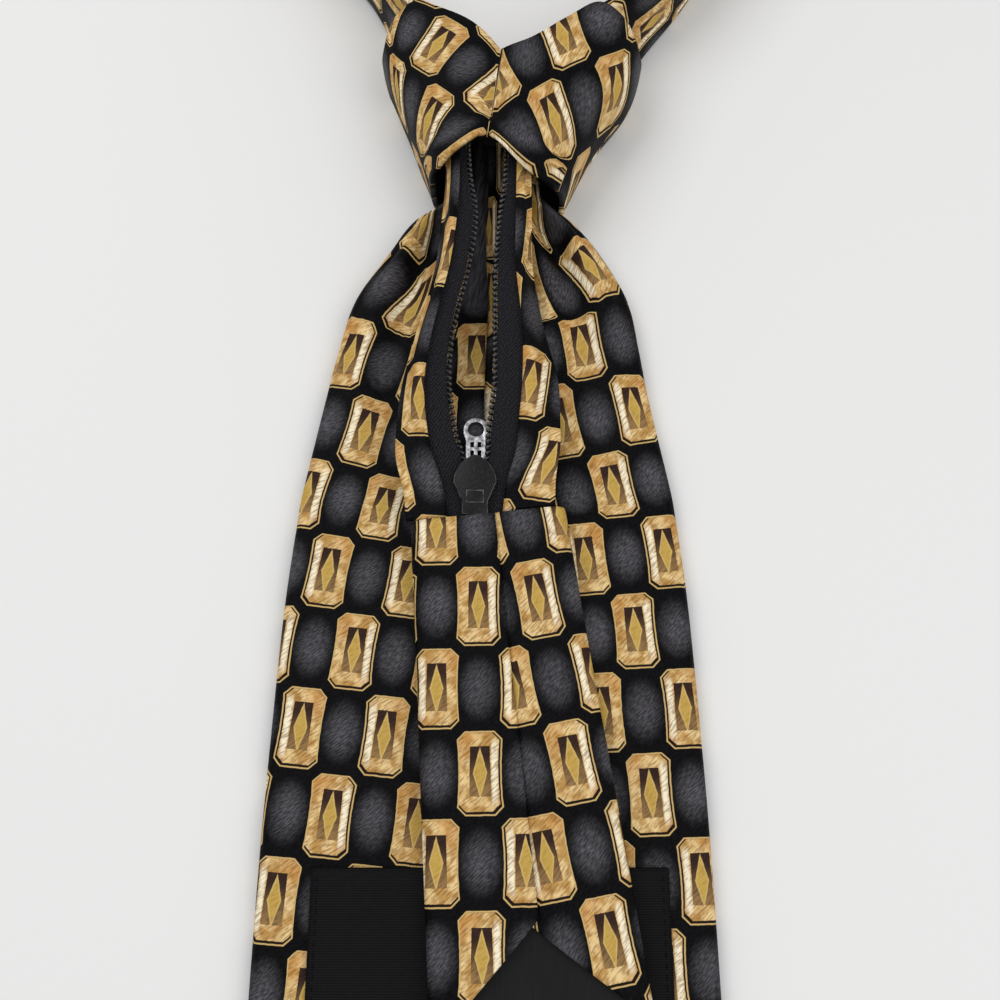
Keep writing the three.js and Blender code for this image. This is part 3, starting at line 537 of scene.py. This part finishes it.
pillow_y = PRINT_DOWN + (blade_y - PILLOW_HEIGHT) * PILLOW_STRETCH
left_y = mix(blade_y - LEFT_MOTIF[1], pillow_y, smooth(blade_y, 44, 50))
left_hung = np.stack([blade_x - LEFT_MOTIF[0], left_y], -1)
right_hung = np.stack([right_x, right_y], -1)
hung = np.where((panel_side > 0)[..., None], right_hung, left_hung)
blade_print = mix(blade_print, hung, hanging[..., None])
cloth("blade_silk", "blade", blade_points, blade_print, CLOTH)

# Label: a wide black ribbed ribbon label, woven bare and turned under at its edges. It is sewn to the
# blade's back along both short ends, with small stitches of its own thread.
LABEL_EASE, LABEL_TURN, LABEL_SINK, LABEL_WALL = 0.35, 1.3, 0.12, 0.7
STITCH, STITCH_STEP, STITCH_INSET, THREAD = 1.4, 2.1, 1.3, 0.13
STITCH_RISE, STITCH_SUNK = 0.28, 0.1
label_low, label_high = (corner * 1000 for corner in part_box("label"))
label_weave, label_shader, dye = finish_named("ribbed_label", 0.62, specular=0.08)
woven = dye.node("TexCoord", out=3)
ribs = dye.node(
    "TexWave", {"bands_direction": "Y"}, {"Vector": woven, "Scale": 620.0, "Distortion": 0.4, "Detail": 1.0}
)
thread = woven.mottle(1500.0, 2.0)
(ribs * 0.4 + thread * 0.3).over(dyed(5, 5, 6), dyed(32, 32, 34)).feed(label_shader, "Base Color")
(ribs + thread * 0.4).emboss(label_shader, 0.5, 0.0002)
label_x = np.linspace(label_high.x, label_low.x, 60)
label_y = np.linspace(label_high.y, label_low.y, 44)
label_points = np.array([[(a, b, label_high.z) for a in label_x] for b in label_y])
edge = np.minimum(
    np.minimum(label_x[0] - label_points[..., 0], label_points[..., 0] - label_x[-1]),
    np.minimum(label_y[0] - label_points[..., 1], label_points[..., 1] - label_y[-1]),
)
label_points[..., 2] -= LABEL_EASE * (1 - smooth(edge, 0, LABEL_TURN)) + LABEL_SINK
ripple(label_points, 0.12, 15, 8.0)
black = {"outside": label_weave, "inside": label_weave, "slot": "label_weave"}
cloth("label_ribbon", "label", label_points, label_points[..., :2], LABEL_WALL, **black)


def rounds(name, lines, radii, sides, material, node=None):
    """Round threads or wires along lines of points in millimetres, as one piece on the tie."""
    points, faces = [], []
    for line in lines:
        ahead = np.gradient(line, axis=0)
        ahead /= np.linalg.norm(ahead, axis=1)[:, None]
        beside = np.cross(ahead, (0.1, 0.2, 1.0))
        beside /= np.linalg.norm(beside, axis=1)[:, None]
        above = np.cross(beside, ahead)
        turns = np.linspace(0, 2 * np.pi, sides, endpoint=False)
        ring = beside[:, None] * np.cos(turns)[None, :, None] + above[:, None] * np.sin(turns)[None, :, None]
        wide = len(line)
        ids = len(points) * sides * wide + np.arange(wide * sides).reshape(wide, sides)
        points.append(line[:, None] + ring * np.broadcast_to(radii, wide)[:, None, None])
        ids = np.hstack([ids, ids[:, :1]])
        quads = np.stack([ids[:-1, :-1], ids[:-1, 1:], ids[1:, 1:], ids[1:, :-1]], -1).reshape(-1, 4)
        faces += quads.tolist() + [ids[0, :-1][::-1].tolist(), ids[-1, :-1].tolist()]
    mesh = bpy.data.meshes.new(name)
    mesh.from_pydata((np.concatenate(points).reshape(-1, 3) / 1000).tolist(), [], faces)
    mesh.polygons.foreach_set("use_smooth", [True] * len(faces))
    mesh.materials.append(material)
    tidy = bmesh.new()
    tidy.from_mesh(mesh)
    bmesh.ops.recalc_face_normals(tidy, faces=tidy.faces)
    tidy.to_mesh(mesh)
    tidy.free()
    piece = bpy.data.objects.new(name, mesh)
    bpy.context.scene.collection.objects.link(piece)
    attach(piece, "tie")
    if node:
        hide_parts(node)


def stitch(x, y, z):
    """One short stitch, as an arch of thread over the label."""
    share = np.linspace(-1, 1, 7)
    arch = STITCH_RISE * (1 - share**2) - STITCH_SUNK
    return np.stack([0 * share + x, y + share * STITCH / 2, z + arch], -1)


label_ends = (label_x[-1] + STITCH_INSET, label_x[0] - STITCH_INSET)
down_ends = np.arange(label_y[-1] + 1.5, label_y[0] - 1, STITCH_STEP)
stitches = [stitch(a, b, label_high.z - LABEL_SINK) for a in label_ends for b in down_ends]
rounds("label_stitches", stitches, THREAD, 6, label_weave)

# Tail: the narrow blade, of the same silk, folded and lapped in the same way. Its straight hem stands
# open round the zip's foot, and it lies on the wide blade and on the label.
TAIL_X, TAIL_HEM, TAIL_LEAN = 0.4, -7.0, math.radians(6)
TAIL_WIDTH, TAIL_HEM_WIDTH = 45.0, 35.6
TAIL_THICK, TAIL_HEM_THICK = 4.8, 7.0
TAIL_LENGTH, TAIL_POINT, TAIL_PARTING = 106.0, 22.5, 19.5
TAIL_MOTIFS, TAIL_PRINT_LEAN = ((-1.1, -64.1), (18.4, -61.8)), 2.5
LABEL_TOP = -83.0
tail_low, tail_high = BLADE_THICK + GAP, BLADE_THICK + 2 * GAP + 1
tail_reach = TAIL_HEM - LABEL_TOP
tail_points, tail_panels = folded_shell(
    lambda y: mix(TAIL_HEM_WIDTH, TAIL_WIDTH, np.clip(-y / TAIL_LENGTH, 0, 1)) / 2,
    lambda y: mix(TAIL_HEM_THICK, TAIL_THICK, smooth(-y / tail_reach, 0, 0.4)),
    lambda x, y: mix(tail_low, tail_high, smooth(-y / tail_reach, 0.4, 0.85)),
    straight_down,
    -TAIL_LENGTH,
    TAIL_POINT,
    TAIL_PARTING,
    np.linspace(0, 1, 110),
    (22, 6, 26),
)
lean_cos, lean_sin = math.cos(TAIL_LEAN), math.sin(TAIL_LEAN)
tail_turn = np.array([[lean_cos, lean_sin], [-lean_sin, lean_cos]])


def on_tail(points):
    points[..., :2] = points[..., :2] @ tail_turn + (TAIL_X, TAIL_HEM)
    return points


on_tail(tail_points)
tail_leans = [lambda y: 0 * y + TAIL_PRINT_LEAN] * 2
tail_print = print_on_shell(tail_points, tail_panels, TAIL_MOTIFS, tail_leans)
ripple(tail_points, 0.2, 18, 5.0)
cloth("tail_silk", "tail", tail_points, tail_print, CLOTH)

# Tail lining: black satin on the inside of the tail's front, seen where its folded edges part. It is
# cut narrower than the tail, so that its edges lie under both folds.
SATIN_WALL, SATIN_NARROW, SATIN_SHORT, SATIN_ABOVE = 0.8, 0.9, 4.4, 5.0
satin, satin_shader, dye = finish_named("black_satin", 0.42, specular=0.12)
on_satin = dye.node("TexCoord", out=3)
drawn_out = dye.node("Mapping", {}, {"Vector": on_satin, "Scale": (3200, 160, 160)})
warp = drawn_out.mottle(1.0, 2.0)
(warp * 0.6).over(dyed(16, 16, 18), dyed(34, 34, 36)).feed(satin_shader, "Base Color")
warp.emboss(satin_shader, 0.25, 0.0001)
lining_half = TAIL_WIDTH / 2 - TAIL_THICK / 2 - GAP
lining_top = -TAIL_LENGTH + TAIL_PARTING + SATIN_ABOVE
lining_high = tail_high + CLOTH + GAP + SATIN_WALL
lining_share = np.linspace(1, -1, 50)
lining_rows = []
for share in np.linspace(0, 1, 40):
    foot = -TAIL_LENGTH - (TAIL_POINT - SATIN_SHORT) * (1 - np.abs(lining_share))
    y = mix(lining_top, foot, share)
    half = lining_half * mix(SATIN_NARROW, 1.0, share)
    lining_rows.append(np.stack([lining_share * half, y, 0 * y + lining_high], -1))
lining_points = on_tail(np.array(lining_rows))
ripple(lining_points, 0.15, 9, 2.0)
lining = {"outside": satin, "inside": satin, "slot": "satin"}
cloth("tail_satin", "tail_lining", lining_points, lining_points[..., :2], SATIN_WALL, **lining)

# Zip tapes: black woven polyester tapes, sewn under the cloth strips. Their inner edges carry the coils,
# and their lower ends run on inside the tail.
ZIP_X, ZIP_TOP, ZIP_SPREAD, TAPE_SHOWN, STRIP_WIDTH, STRIP_DROP = -2.6, 92.0, 8.0, 6.5, 12.0, 5.0
TAPE_THICK, TAPE_TUCK, TAPE_IN_TAIL, STRIP_GAP, COIL = 1.0, 1.2, 14.0, 0.5, 2.2
TAPE_WALL, TAPE_UNDER_COIL, TAPE_EASE, TAPE_TURN, ZIP_UNDER_KNOT = 0.55, 1.05, 0.1, 1.6, 4.5
# The share of the way from the hem into the knot, then coil, tape, strip and drop, as shares.
ZIP_LEFT = [
    (0, 0.156, 0.77, 0.78, 0),
    (0.07, 0.156, 0.92, 0.76, 0),
    (0.145, 0.42, 0.95, 0.72, 0.15),
    (0.2, 0.64, 0.89, 0.63, 0.3),
    (0.32, 0.84, 0.8, 0.47, 0.6),
    (0.45, 0.74, 0.65, 0.37, 0.85),
    (0.61, 0.29, 0.6, 0.33, 0.85),
    (0.74, 0.08, 0.6, 0.33, 0.8),
    (0.85, 0.26, 0.3, 0.3, 0.7),
    (1, 0.37, 0.3, 0.3, 0.4),
]
ZIP_RIGHT = [
    (0, 0.156, 0.77, 1, 0),
    (0.07, 0.156, 0.92, 0.94, 0),
    (0.145, 0.41, 0.93, 0.86, 0.15),
    (0.2, 0.45, 0.97, 0.82, 0.3),
    (0.32, 0.62, 0.92, 0.7, 0.6),
    (0.45, 0.63, 0.9, 0.45, 0.85),
    (0.61, 0.65, 0.65, 0.35, 0.8),
    (0.74, 0.78, 0.5, 0.33, 0.5),
    (0.85, 0.94, 0.34, 0.3, 0.2),
    (1, 0.98, 0.34, 0.3, 0),
]
ZIP_CLIMB = [(0, 0), (0.16, 0.16), (0.45, 0.5), (0.7, 0.8), (0.86, 0.95), (1, 1)]
KNOT_HEIGHT = 28.0
zip_run = ZIP_TOP - TAIL_HEM
zip_low = tail_low + TAIL_HEM_THICK - 2 * (CLOTH + GAP) - TAPE_THICK / 2
zip_high = KNOT_HEIGHT - KNOT_WALL - CLOTH - 2 * GAP - TAPE_THICK / 2 - ZIP_UNDER_KNOT
zip_in_tail = tail_low + CLOTH + GAP + TAPE_THICK / 2


def zip_level(at):
    inside = mix(zip_low, zip_in_tail, -at * zip_run / TAPE_IN_TAIL)
    return np.where(at < 0, inside, mix(zip_low, zip_high, along(ZIP_CLIMB, 1, at)))


def zip_share(at, side, column):
    return along(ZIP_LEFT if side < 0 else ZIP_RIGHT, column, np.maximum(at, 0))


def coil_x(at, side):
    return ZIP_X + side * ZIP_SPREAD * zip_share(at, side, 1)


def tape_x(at, side):
    return coil_x(at, side) + side * TAPE_SHOWN * zip_share(at, side, 2)


tape_weave, tape_shader, dye = finish_named("woven_tape", 0.6, specular=0.1)
on_tape = dye.node("UVMap", {"uv_map": "print"})
laid = dye.node("Mapping", {}, {"Vector": on_tape, "Rotation": (0, 0, math.radians(40))})
ribs = dye.node(
    "TexWave", {"bands_direction": "X"}, {"Vector": laid, "Scale": 520.0, "Distortion": 2.5, "Detail": 1.0}
)
fuzz = on_tape.mottle(2600.0, 2.0, flat=True)
lighter = (ribs * 0.4 + fuzz.rise(0.45, 0.75) * 0.6).least(1)
lighter.over(dyed(4, 4, 6), dyed(50, 49, 55)).feed(tape_shader, "Base Color")
(ribs + fuzz).emboss(tape_shader, 0.6, 0.0002)
tape = {"outside": tape_weave, "inside": tape_weave, "slot": "tape_weave"}
for side, name in ((-1, "left"), (1, "right")):
    shares = np.concatenate([np.linspace(-TAPE_IN_TAIL / zip_run, 0, 16)[:-1], np.linspace(0, 1, 110)])[::-1]
    across = np.linspace(0, 1, 16)
    near = coil_x(shares, side) + side * (COIL / 2 - TAPE_UNDER_COIL)
    far = tape_x(shares, side) + side * TAPE_TUCK
    u = near[:, None] + (far - near)[:, None] * across
    y = np.broadcast_to(mix(TAIL_HEM, ZIP_TOP, shares)[:, None], u.shape)
    edge = smooth(np.abs(u - near[:, None]), 0, TAPE_TURN)
    z = zip_level(shares)[:, None] + TAPE_THICK / 2 - TAPE_EASE * (1 - edge)
    points = np.stack([u, y, np.broadcast_to(z, u.shape)], -1).copy()
    places = np.stack([u - near[:, None], y], -1)
    if side > 0:
        points, places = points[:, ::-1], places[:, ::-1]
    ripple(points, 0.12, 9, 11.0 + side)
    cloth("zip_tape_weave_" + name, "zip_tape_" + name, points, places, TAPE_WALL, **tape)

# Cloth strips: narrow folded strips of the silk that the tapes are sewn to. They stop at the tail's hem
# and run up into the knot, with their outer edges dropping to the wide blade.
STRIP_WALL, STRIP_EASE, STRIP_TURN = 0.9, 0.35, 0.9
# By side: how far in from the edge and how high a motif's middle lies, and the print's turn there.
STRIP_MOTIFS = {-1: (1.2, 20.0, 3.0), 1: (2.2, 24.0, 8.0)}
for side, name in ((-1, "left"), (1, "right")):
    shares = np.linspace(1, 0, 120)
    near = tape_x(shares, side)
    far = near + side * STRIP_WIDTH * zip_share(shares, side, 3)
    drop = STRIP_DROP * zip_share(shares, side, 4)
    flat = (TAPE_TUCK + GAP) / np.abs(far - near)
    across = np.linspace(0, 1, 22)
    x = near[:, None] + (far - near)[:, None] * across
    k = (across - flat[:, None]) / (1 - flat[:, None])
    lift = TAPE_THICK / 2 + STRIP_GAP + CLOTH - drop[:, None] * smooth(k, 0, 1)
    lift = lift - STRIP_EASE * (1 - smooth(np.abs(x - near[:, None]), 0, STRIP_TURN))
    hem = TAIL_HEM + (x - TAIL_X) * math.tan(TAIL_LEAN) + GAP
    y = mix(hem, ZIP_TOP, shares[:, None])
    points = np.stack([x, y, zip_level(shares)[:, None] + lift], -1)
    fold = np.linalg.norm(np.diff(points, axis=1), axis=2).cumsum(1)
    fold = np.hstack([np.zeros((len(fold), 1)), fold])
    inward, height, turn = STRIP_MOTIFS[side]
    c, s = math.cos(math.radians(turn)), math.sin(math.radians(turn))
    du, dv = side * (fold - inward), y - height
    places = np.stack([du * c - dv * s, du * s + dv * c], -1)
    ripple(points, 0.15, 12, 21.0 + side)
    if side > 0:
        points, places = points[:, ::-1], places[:, ::-1]
    cloth("zip_strip_silk_" + name, "zip_strip_" + name, points, places, STRIP_WALL)

# Zip coils: a black nylon wire wound into a flat spiral, sewn to each tape's inner edge. The bend of each
# turn that faces the other coil is pressed thicker.
PITCH, WIRE, WIRE_THIN, HEAD_SWELL = 1.36, 0.34, 0.24, 0.27
COIL_RISE, COIL_SUNK, COIL_SIDES = 0.4, 0.25, 7
nylon, nylon_shader, dye = finish_named("black_nylon", 0.25, specular=0.7)
scuff = dye.node("TexCoord", out=3).mottle(1200.0, 2.0)
(scuff * 0.8).over(dyed(10, 10, 12), dyed(44, 44, 48)).feed(nylon_shader, "Base Color")
(scuff * 0.2 + 0.14).feed(nylon_shader, "Roughness")
for side, name in ((-1, "left"), (1, "right")):
    count = int((zip_run - 2) / PITCH)
    turn = np.linspace(0, 2 * np.pi * count, count * 18 + 1)
    share = mix(0.012, 1.0, turn / turn[-1])
    head = np.cos(turn)
    x = coil_x(share, side) - side * head * (COIL / 2 - WIRE)
    z = zip_level(share) - COIL_SUNK + np.sin(turn) * COIL_RISE
    line = np.stack([x, mix(TAIL_HEM, ZIP_TOP, share), z], -1)
    radii = WIRE_THIN + HEAD_SWELL * np.clip(head, 0, 1) ** 2
    rounds("zip_coil_nylon_" + name, [line], radii, COIL_SIDES, nylon, "zip_coil_" + name)


# Slider: cast zinc under black enamel. Its plain back plate faces up, with an embossed ring and a
# sunk rectangle at its narrow end. Its bevelled rims carry a painted highlight in patches, and the ring's
# and the rectangle's outlines are drawn lighter. The lug under it carries the pull.
def eased_copy(name, node, width, body, material):
    """A piece with a CAD node's own shape, its flat faces whole and its edges rounded."""
    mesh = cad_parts[node].data.copy()
    mesh.name = name
    made = bmesh.new()
    made.from_mesh(mesh)
    bmesh.ops.remove_doubles(made, verts=made.verts, dist=1e-6)
    bmesh.ops.dissolve_limit(made, angle_limit=math.radians(2), verts=made.verts, edges=made.edges)
    sharp = [e for e in made.edges if len(e.link_faces) == 2 and e.calc_face_angle() > math.radians(35)]
    bmesh.ops.bevel(
        made,
        geom=sharp,
        offset=width,
        offset_type="OFFSET",
        segments=3,
        profile=0.5,
        affect="EDGES",
        clamp_overlap=True,
    )
    made.to_mesh(mesh)
    made.free()
    mesh.polygons.foreach_set("use_smooth", [True] * len(mesh.polygons))
    mesh.set_sharp_from_angle(angle=math.radians(40))
    mesh.materials.clear()
    mesh.materials.append(material)
    piece = bpy.data.objects.new(name, mesh)
    bpy.context.scene.collection.objects.link(piece)
    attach(piece, body)
    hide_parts(node)


RING_Y, RING_SIZE = 3.4, 1.25
SUNK_Y, SUNK_HALF, SUNK_TALL = -2.9, 1.9, 1.35
SLIDER_ROUND, PULL_ROUND = 0.00018, 0.00012
enamel, enamel_shader, dye = finish_named("black_enamel_painted_highlight", 0.4, metallic=0.2, specular=0.3)
on_metal = dye.node("TexCoord", out=3)
speck = on_metal.mottle(1600.0, 4.0)
patch = on_metal.mottle(420.0, 2.0)
facing = dye.node("NewGeometry", out=1).axis(2)
# Painted highlight: faces that lie between facing up and facing sideways, the rounded rims, are coloured
# lighter.
bevel_highlight = facing.rise(0.15, 0.4) * (1 - facing.rise(0.9, 0.97))
plate_x = on_metal.axis(0) * 1000 - ZIP_X
plate_y = on_metal.axis(1) * 1000
from_ring = plate_y - RING_Y
ring = ((plate_x * plate_x + from_ring * from_ring).maths("SQRT") - RING_SIZE).size()
sunk = (plate_x.size() - SUNK_HALF).most((plate_y - SUNK_Y).size() - SUNK_TALL)
marks = (1 - ring.rise(0.06, 0.2)).most(1 - sunk.size().rise(0.05, 0.16)) * facing.rise(0.9, 0.97)
# The painted rim highlight and the lighter outlines of the ring and the sunk rectangle, in patches, lay
# light grey over the enamel.
rim_highlight_and_outlines = (bevel_highlight * 0.55 + marks * 0.45) * patch.rise(0.25, 0.6)
coat = (speck.rise(0.5, 0.75) * 0.5).over(dyed(7, 7, 9), dyed(46, 45, 48))
rim_highlight_and_outlines.least(1).over(coat, dyed(140, 138, 134)).feed(enamel_shader, "Base Color")
(speck * 0.3 + 0.25).feed(enamel_shader, "Roughness")
(speck * 0.6 + marks).emboss(enamel_shader, 0.5, 0.00015)
eased_copy("slider_body", "slider", SLIDER_ROUND, "tie", enamel)

# Pull: a flat tab of nickel-plated zinc with a ring end, worn grey. Its eye hangs on the slider's lug, so
# it rides the body that swings there.
nickel, nickel_shader, dye = finish_named("worn_nickel", 0.3, metallic=1.0)
smear = dye.node("TexCoord", out=3).mottle(900.0, 4.0)
smear.rise(0.35, 0.7).over(dyed(130, 130, 133), dyed(218, 218, 220)).feed(nickel_shader, "Base Color")
(smear * 0.35 + 0.15).feed(nickel_shader, "Roughness")
smear.emboss(nickel_shader, 0.2, 0.0001)
eased_copy("pull_metal", "pull_tab", PULL_ROUND, "pull", nickel)

# Knot: the tie's silk wrapped into a hollow, ready-sewn knot. Its two back lobes meet in a mitred
# crease under a V-shaped notch, and its mouth opens over the zip as a V with its point at the crease.
KNOT_WIDTH, KNOT_LENGTH, KNOT_BASE = 66.0, 48.0, 74.0
MOUTH_LEFT, MOUTH_RIGHT, MOUTH_CREASE = 3.7, -0.5, 10.0
KNOT_WAIST = KNOT_HEIGHT * 0.45
CREASE_DEPTH, CREASE_WIDE = 2.2, 0.1
ROOF_SQUARE, FLOOR_SQUARE = 2.3, 4.5
ARCH_LEFT, ARCH_RIGHT = 1.3, 3.0
RIM_MOTIF = (15.4, 8.6)
# The share of the length, then crease, left side, right side and height, as shares.
KNOT_SECTIONS = [
    (0, -0.015, 0.2, 0.29, 0.82),
    (0.12, -0.005, 0.225, 0.33, 0.98),
    (0.25, 0.005, 0.262, 0.375, 1),
    (0.4, 0.02, 0.3, 0.44, 0.98),
    (0.6, 0.035, 0.355, 0.545, 0.94),
    (0.78, 0.05, 0.405, 0.595, 0.93),
    (1, 0.06, 0.43, 0.62, 0.96),
]
LEFT_LOBE = [(0, 0.76), (0.25, 0.9), (0.5, 1), (0.68, 1.07), (0.86, 1.01), (1, 0.86)]
RIGHT_LOBE = [(0, 0.76), (0.2, 0.8), (0.45, 0.94), (0.66, 1.06), (0.84, 1), (1, 0.83)]
left_turns = np.linspace(0.56, 1.5, 110, endpoint=False)[1:]
right_turns = np.linspace(-0.5, 0.44, 110, endpoint=False)
turns = np.pi * np.concatenate([right_turns, np.linspace(0.44, 0.56, 41), left_turns])
c, s = np.cos(turns), np.sin(turns)
power = 2 / np.where(s >= 0, ROOF_SQUARE, FLOOR_SQUARE)
across, up = np.sign(c) * np.abs(c) ** power, np.sign(s) * np.abs(s) ** power
lobe = np.where(across < 0, along(LEFT_LOBE, 1, np.abs(across)), along(RIGHT_LOBE, 1, np.abs(across)))
side_top = np.where(across < 0, LEFT_LOBE[-1][1], RIGHT_LOBE[-1][1])
top = mix(side_top, np.where(up > 0, lobe, 0.8), np.minimum(1, np.abs(up) / 0.4))
knot_share = np.linspace(1, 0, 70)[:, None]
arch = np.where(s > 0, (1 - np.abs(across)) ** np.where(across > 0, ARCH_RIGHT, ARCH_LEFT), 0)
mouth = mix(mix(MOUTH_LEFT, MOUTH_RIGHT, (1 + across) / 2), MOUTH_CREASE, arch)
knot_y = mix(mouth, KNOT_LENGTH * top, knot_share)
at = knot_y / KNOT_LENGTH
half = KNOT_WIDTH * np.where(across < 0, along(KNOT_SECTIONS, 2, at), along(KNOT_SECTIONS, 3, at))
knot_x = mix(KNOT_WIDTH * along(KNOT_SECTIONS, 1, at), half * np.sign(across), np.abs(across))
roof = KNOT_HEIGHT * along(KNOT_SECTIONS, 4, at)
groove = np.where(s > 0, CREASE_DEPTH * np.exp(-((np.abs(across) / CREASE_WIDE) ** 1.3)), 0)
knot_z = np.where(up >= 0, mix(KNOT_WAIST, roof, up) - groove, KNOT_WAIST * (1 + up))
knot_points = np.stack([knot_x, KNOT_BASE + knot_y, knot_z], -1)
girth = np.linalg.norm(np.diff(knot_points, axis=1), axis=2).cumsum(1)
girth = np.hstack([np.zeros((len(girth), 1)), girth])
middle = int(np.argmin(np.abs(turns - np.pi / 2)))
spread = girth[:, [middle]] - girth
# Each lobe's cloth runs at a slant round the knot: its place on the print by the distance round from
# the crease and the distance from the mouth, both in 20 mm, with their squares and product.
LEFT_WRAP = [(21.9, 14.4, -12.7, -0.9, -0.8, 1.2), (5.0, 15.5, 7.5, 0, -0.5, 3.4)]
RIGHT_WRAP = [(-24.1, 20.5, 13.7, -1.2, -2.1, -1.8), (3.4, -12.9, 7.2, 0.2, 1.3, 2.4)]
u, v = spread / 20, knot_y / 20
terms = np.stack([np.ones_like(u), u, v, u * u, u * v, v * v], -1)
wrapped = np.where((spread > 0)[..., None], terms @ np.array(RIGHT_WRAP).T, terms @ np.array(LEFT_WRAP).T)
rim = knot_points[-1]
round_rim = np.concatenate([[0], np.linalg.norm(np.diff(rim, axis=0), axis=1).cumsum()])
round_rim = round_rim[middle] - round_rim
above = knot_y - mouth
rim_x = -np.sign(round_rim) * (RIM_MOTIF[0] - above)
strip = np.stack(np.broadcast_arrays(rim_x, RIM_MOTIF[1] - np.abs(round_rim)), -1)
near_rim = (1 - smooth(above, 3, 7)) * (np.abs(round_rim) < 24)
wrapped = mix(wrapped, strip, near_rim[..., None])
upright = np.stack(np.broadcast_arrays(knot_x - 6, knot_y - 20), -1)
knot_print = np.where((s > -0.12)[None, :, None], wrapped, upright)
ripple(knot_points, 0.2, 14, 31.0)
cloth("knot_silk", "knot", knot_points, knot_print, KNOT_WALL, ring=True)

# Neckband: a folded band of the same silk, sewn into the knot's two lobes. It leaves them nearly flat
# and turns to stand on its edge round the neck.
BAND_WIDTH, BAND_THICK, BAND_SLIT = 23.0, 4.4, 0.8
LOOP_WIDTH, LOOP_LENGTH, LOOP_X, LOOP_START = 132.0, 142.0, 6.0, 110.0
# The route's x and y, its rise and its turn from face up to standing on edge, as shares.
BAND_ROUTE = [
    (-0.11, -0.045, 0.02, 0.38),
    (-0.147, 0.01, 0.035, 0.42),
    (-0.191, 0.08, 0, 0.68),
    (-0.222, 0.15, 0, 0.92),
    (-0.28, 0.25, 0, 1),
    (-0.42, 0.43, 0, 1),
    (-0.49, 0.63, 0, 1),
    (-0.43, 0.83, 0, 1),
    (-0.24, 0.96, 0, 1),
    (0, 1, 0, 1),
    (0.24, 0.96, 0, 1),
    (0.43, 0.83, 0, 1),
    (0.5, 0.63, 0, 1),
    (0.45, 0.41, 0, 1),
    (0.345, 0.24, 0, 0.98),
    (0.244, 0.13, 0, 0.84),
    (0.177, 0.058, 0.018, 0.61),
    (0.123, -0.004, 0.035, 0.48),
    (0.07, -0.05, 0.02, 0.38),
]


def catmull(points, shares):
    """A centripetal curve through points, read at shares of the way."""
    points = np.array(points, float)
    ends = np.vstack([2 * points[0] - points[1], points, 2 * points[-1] - points[-2]])
    found = []
    for share in shares:
        place = share * (len(points) - 1)
        k = min(int(place), len(points) - 2)
        t = place - k
        p = ends[k : k + 4]
        d = np.maximum(np.sqrt(np.linalg.norm(np.diff(p, axis=0), axis=1)), 1e-4)
        t1 = ((p[1] - p[0]) / d[0] - (p[2] - p[0]) / (d[0] + d[1]) + (p[2] - p[1]) / d[1]) * d[1]
        t2 = ((p[2] - p[1]) / d[1] - (p[3] - p[1]) / (d[1] + d[2]) + (p[3] - p[2]) / d[2]) * d[1]
        a, b = 2 * p[1] - 2 * p[2] + t1 + t2, -3 * p[1] + 3 * p[2] - 2 * t1 - t2
        found.append(((a * t + b) * t + t1) * t + p[1])
    return np.array(found)


band_share = np.linspace(0, 1, 300)
band_table = [(k / (len(BAND_ROUTE) - 1), *row[2:]) for k, row in enumerate(BAND_ROUTE)]
band_stops = [(LOOP_X + LOOP_WIDTH * a, LOOP_START + LOOP_LENGTH * b, 0) for a, b, _, _ in BAND_ROUTE]
band_line = catmull(band_stops, band_share)
band_line[:, 2] = BAND_WIDTH / 2 + KNOT_HEIGHT * np.maximum(0, along(band_table, 1, band_share))
ahead = np.gradient(band_line[:, :2], axis=0)
ahead /= np.linalg.norm(ahead, axis=1)[:, None]
inward = np.stack([ahead[:, 1], -ahead[:, 0], 0 * ahead[:, 0]], -1)
up = np.array([0, 0, 1.0])
turn = (np.pi / 2) * np.clip(along(band_table, 2, band_share), 0, 1)[:, None]
width = inward * np.cos(turn) + up * np.sin(turn)
face = up * np.cos(turn) - inward * np.sin(turn)
band_flat = (BAND_WIDTH - BAND_THICK) / 2
angles = np.pi * (np.linspace(0, 1, 9) - 0.5)
half = [(w, -BAND_THICK / 2) for w in np.linspace(BAND_SLIT / 2, band_flat, 8)[:-1]]
half += [(band_flat + BAND_THICK / 2 * math.cos(a), BAND_THICK / 2 * math.sin(a)) for a in angles]
half += [(w, BAND_THICK / 2) for w in np.linspace(band_flat, 0, 9)[1:]]
section = np.array([(-w, n) for w, n in half] + half[-2::-1])
band_points = band_line[:, None] + width[:, None] * section[:, :1] + face[:, None] * section[:, 1:]
run = np.concatenate([[0], np.linalg.norm(np.diff(band_line, axis=0), axis=1).cumsum()])
around = np.concatenate([[0], np.linalg.norm(np.diff(section, axis=0), axis=1).cumsum()])
band_print = np.stack(np.broadcast_arrays(around[None, :] - 14, run[:, None] + 6), -1)
ripple(band_points, 0.2, 16, 41.0)
cloth("neckband_silk", "neckband", band_points, band_print, CLOTH)
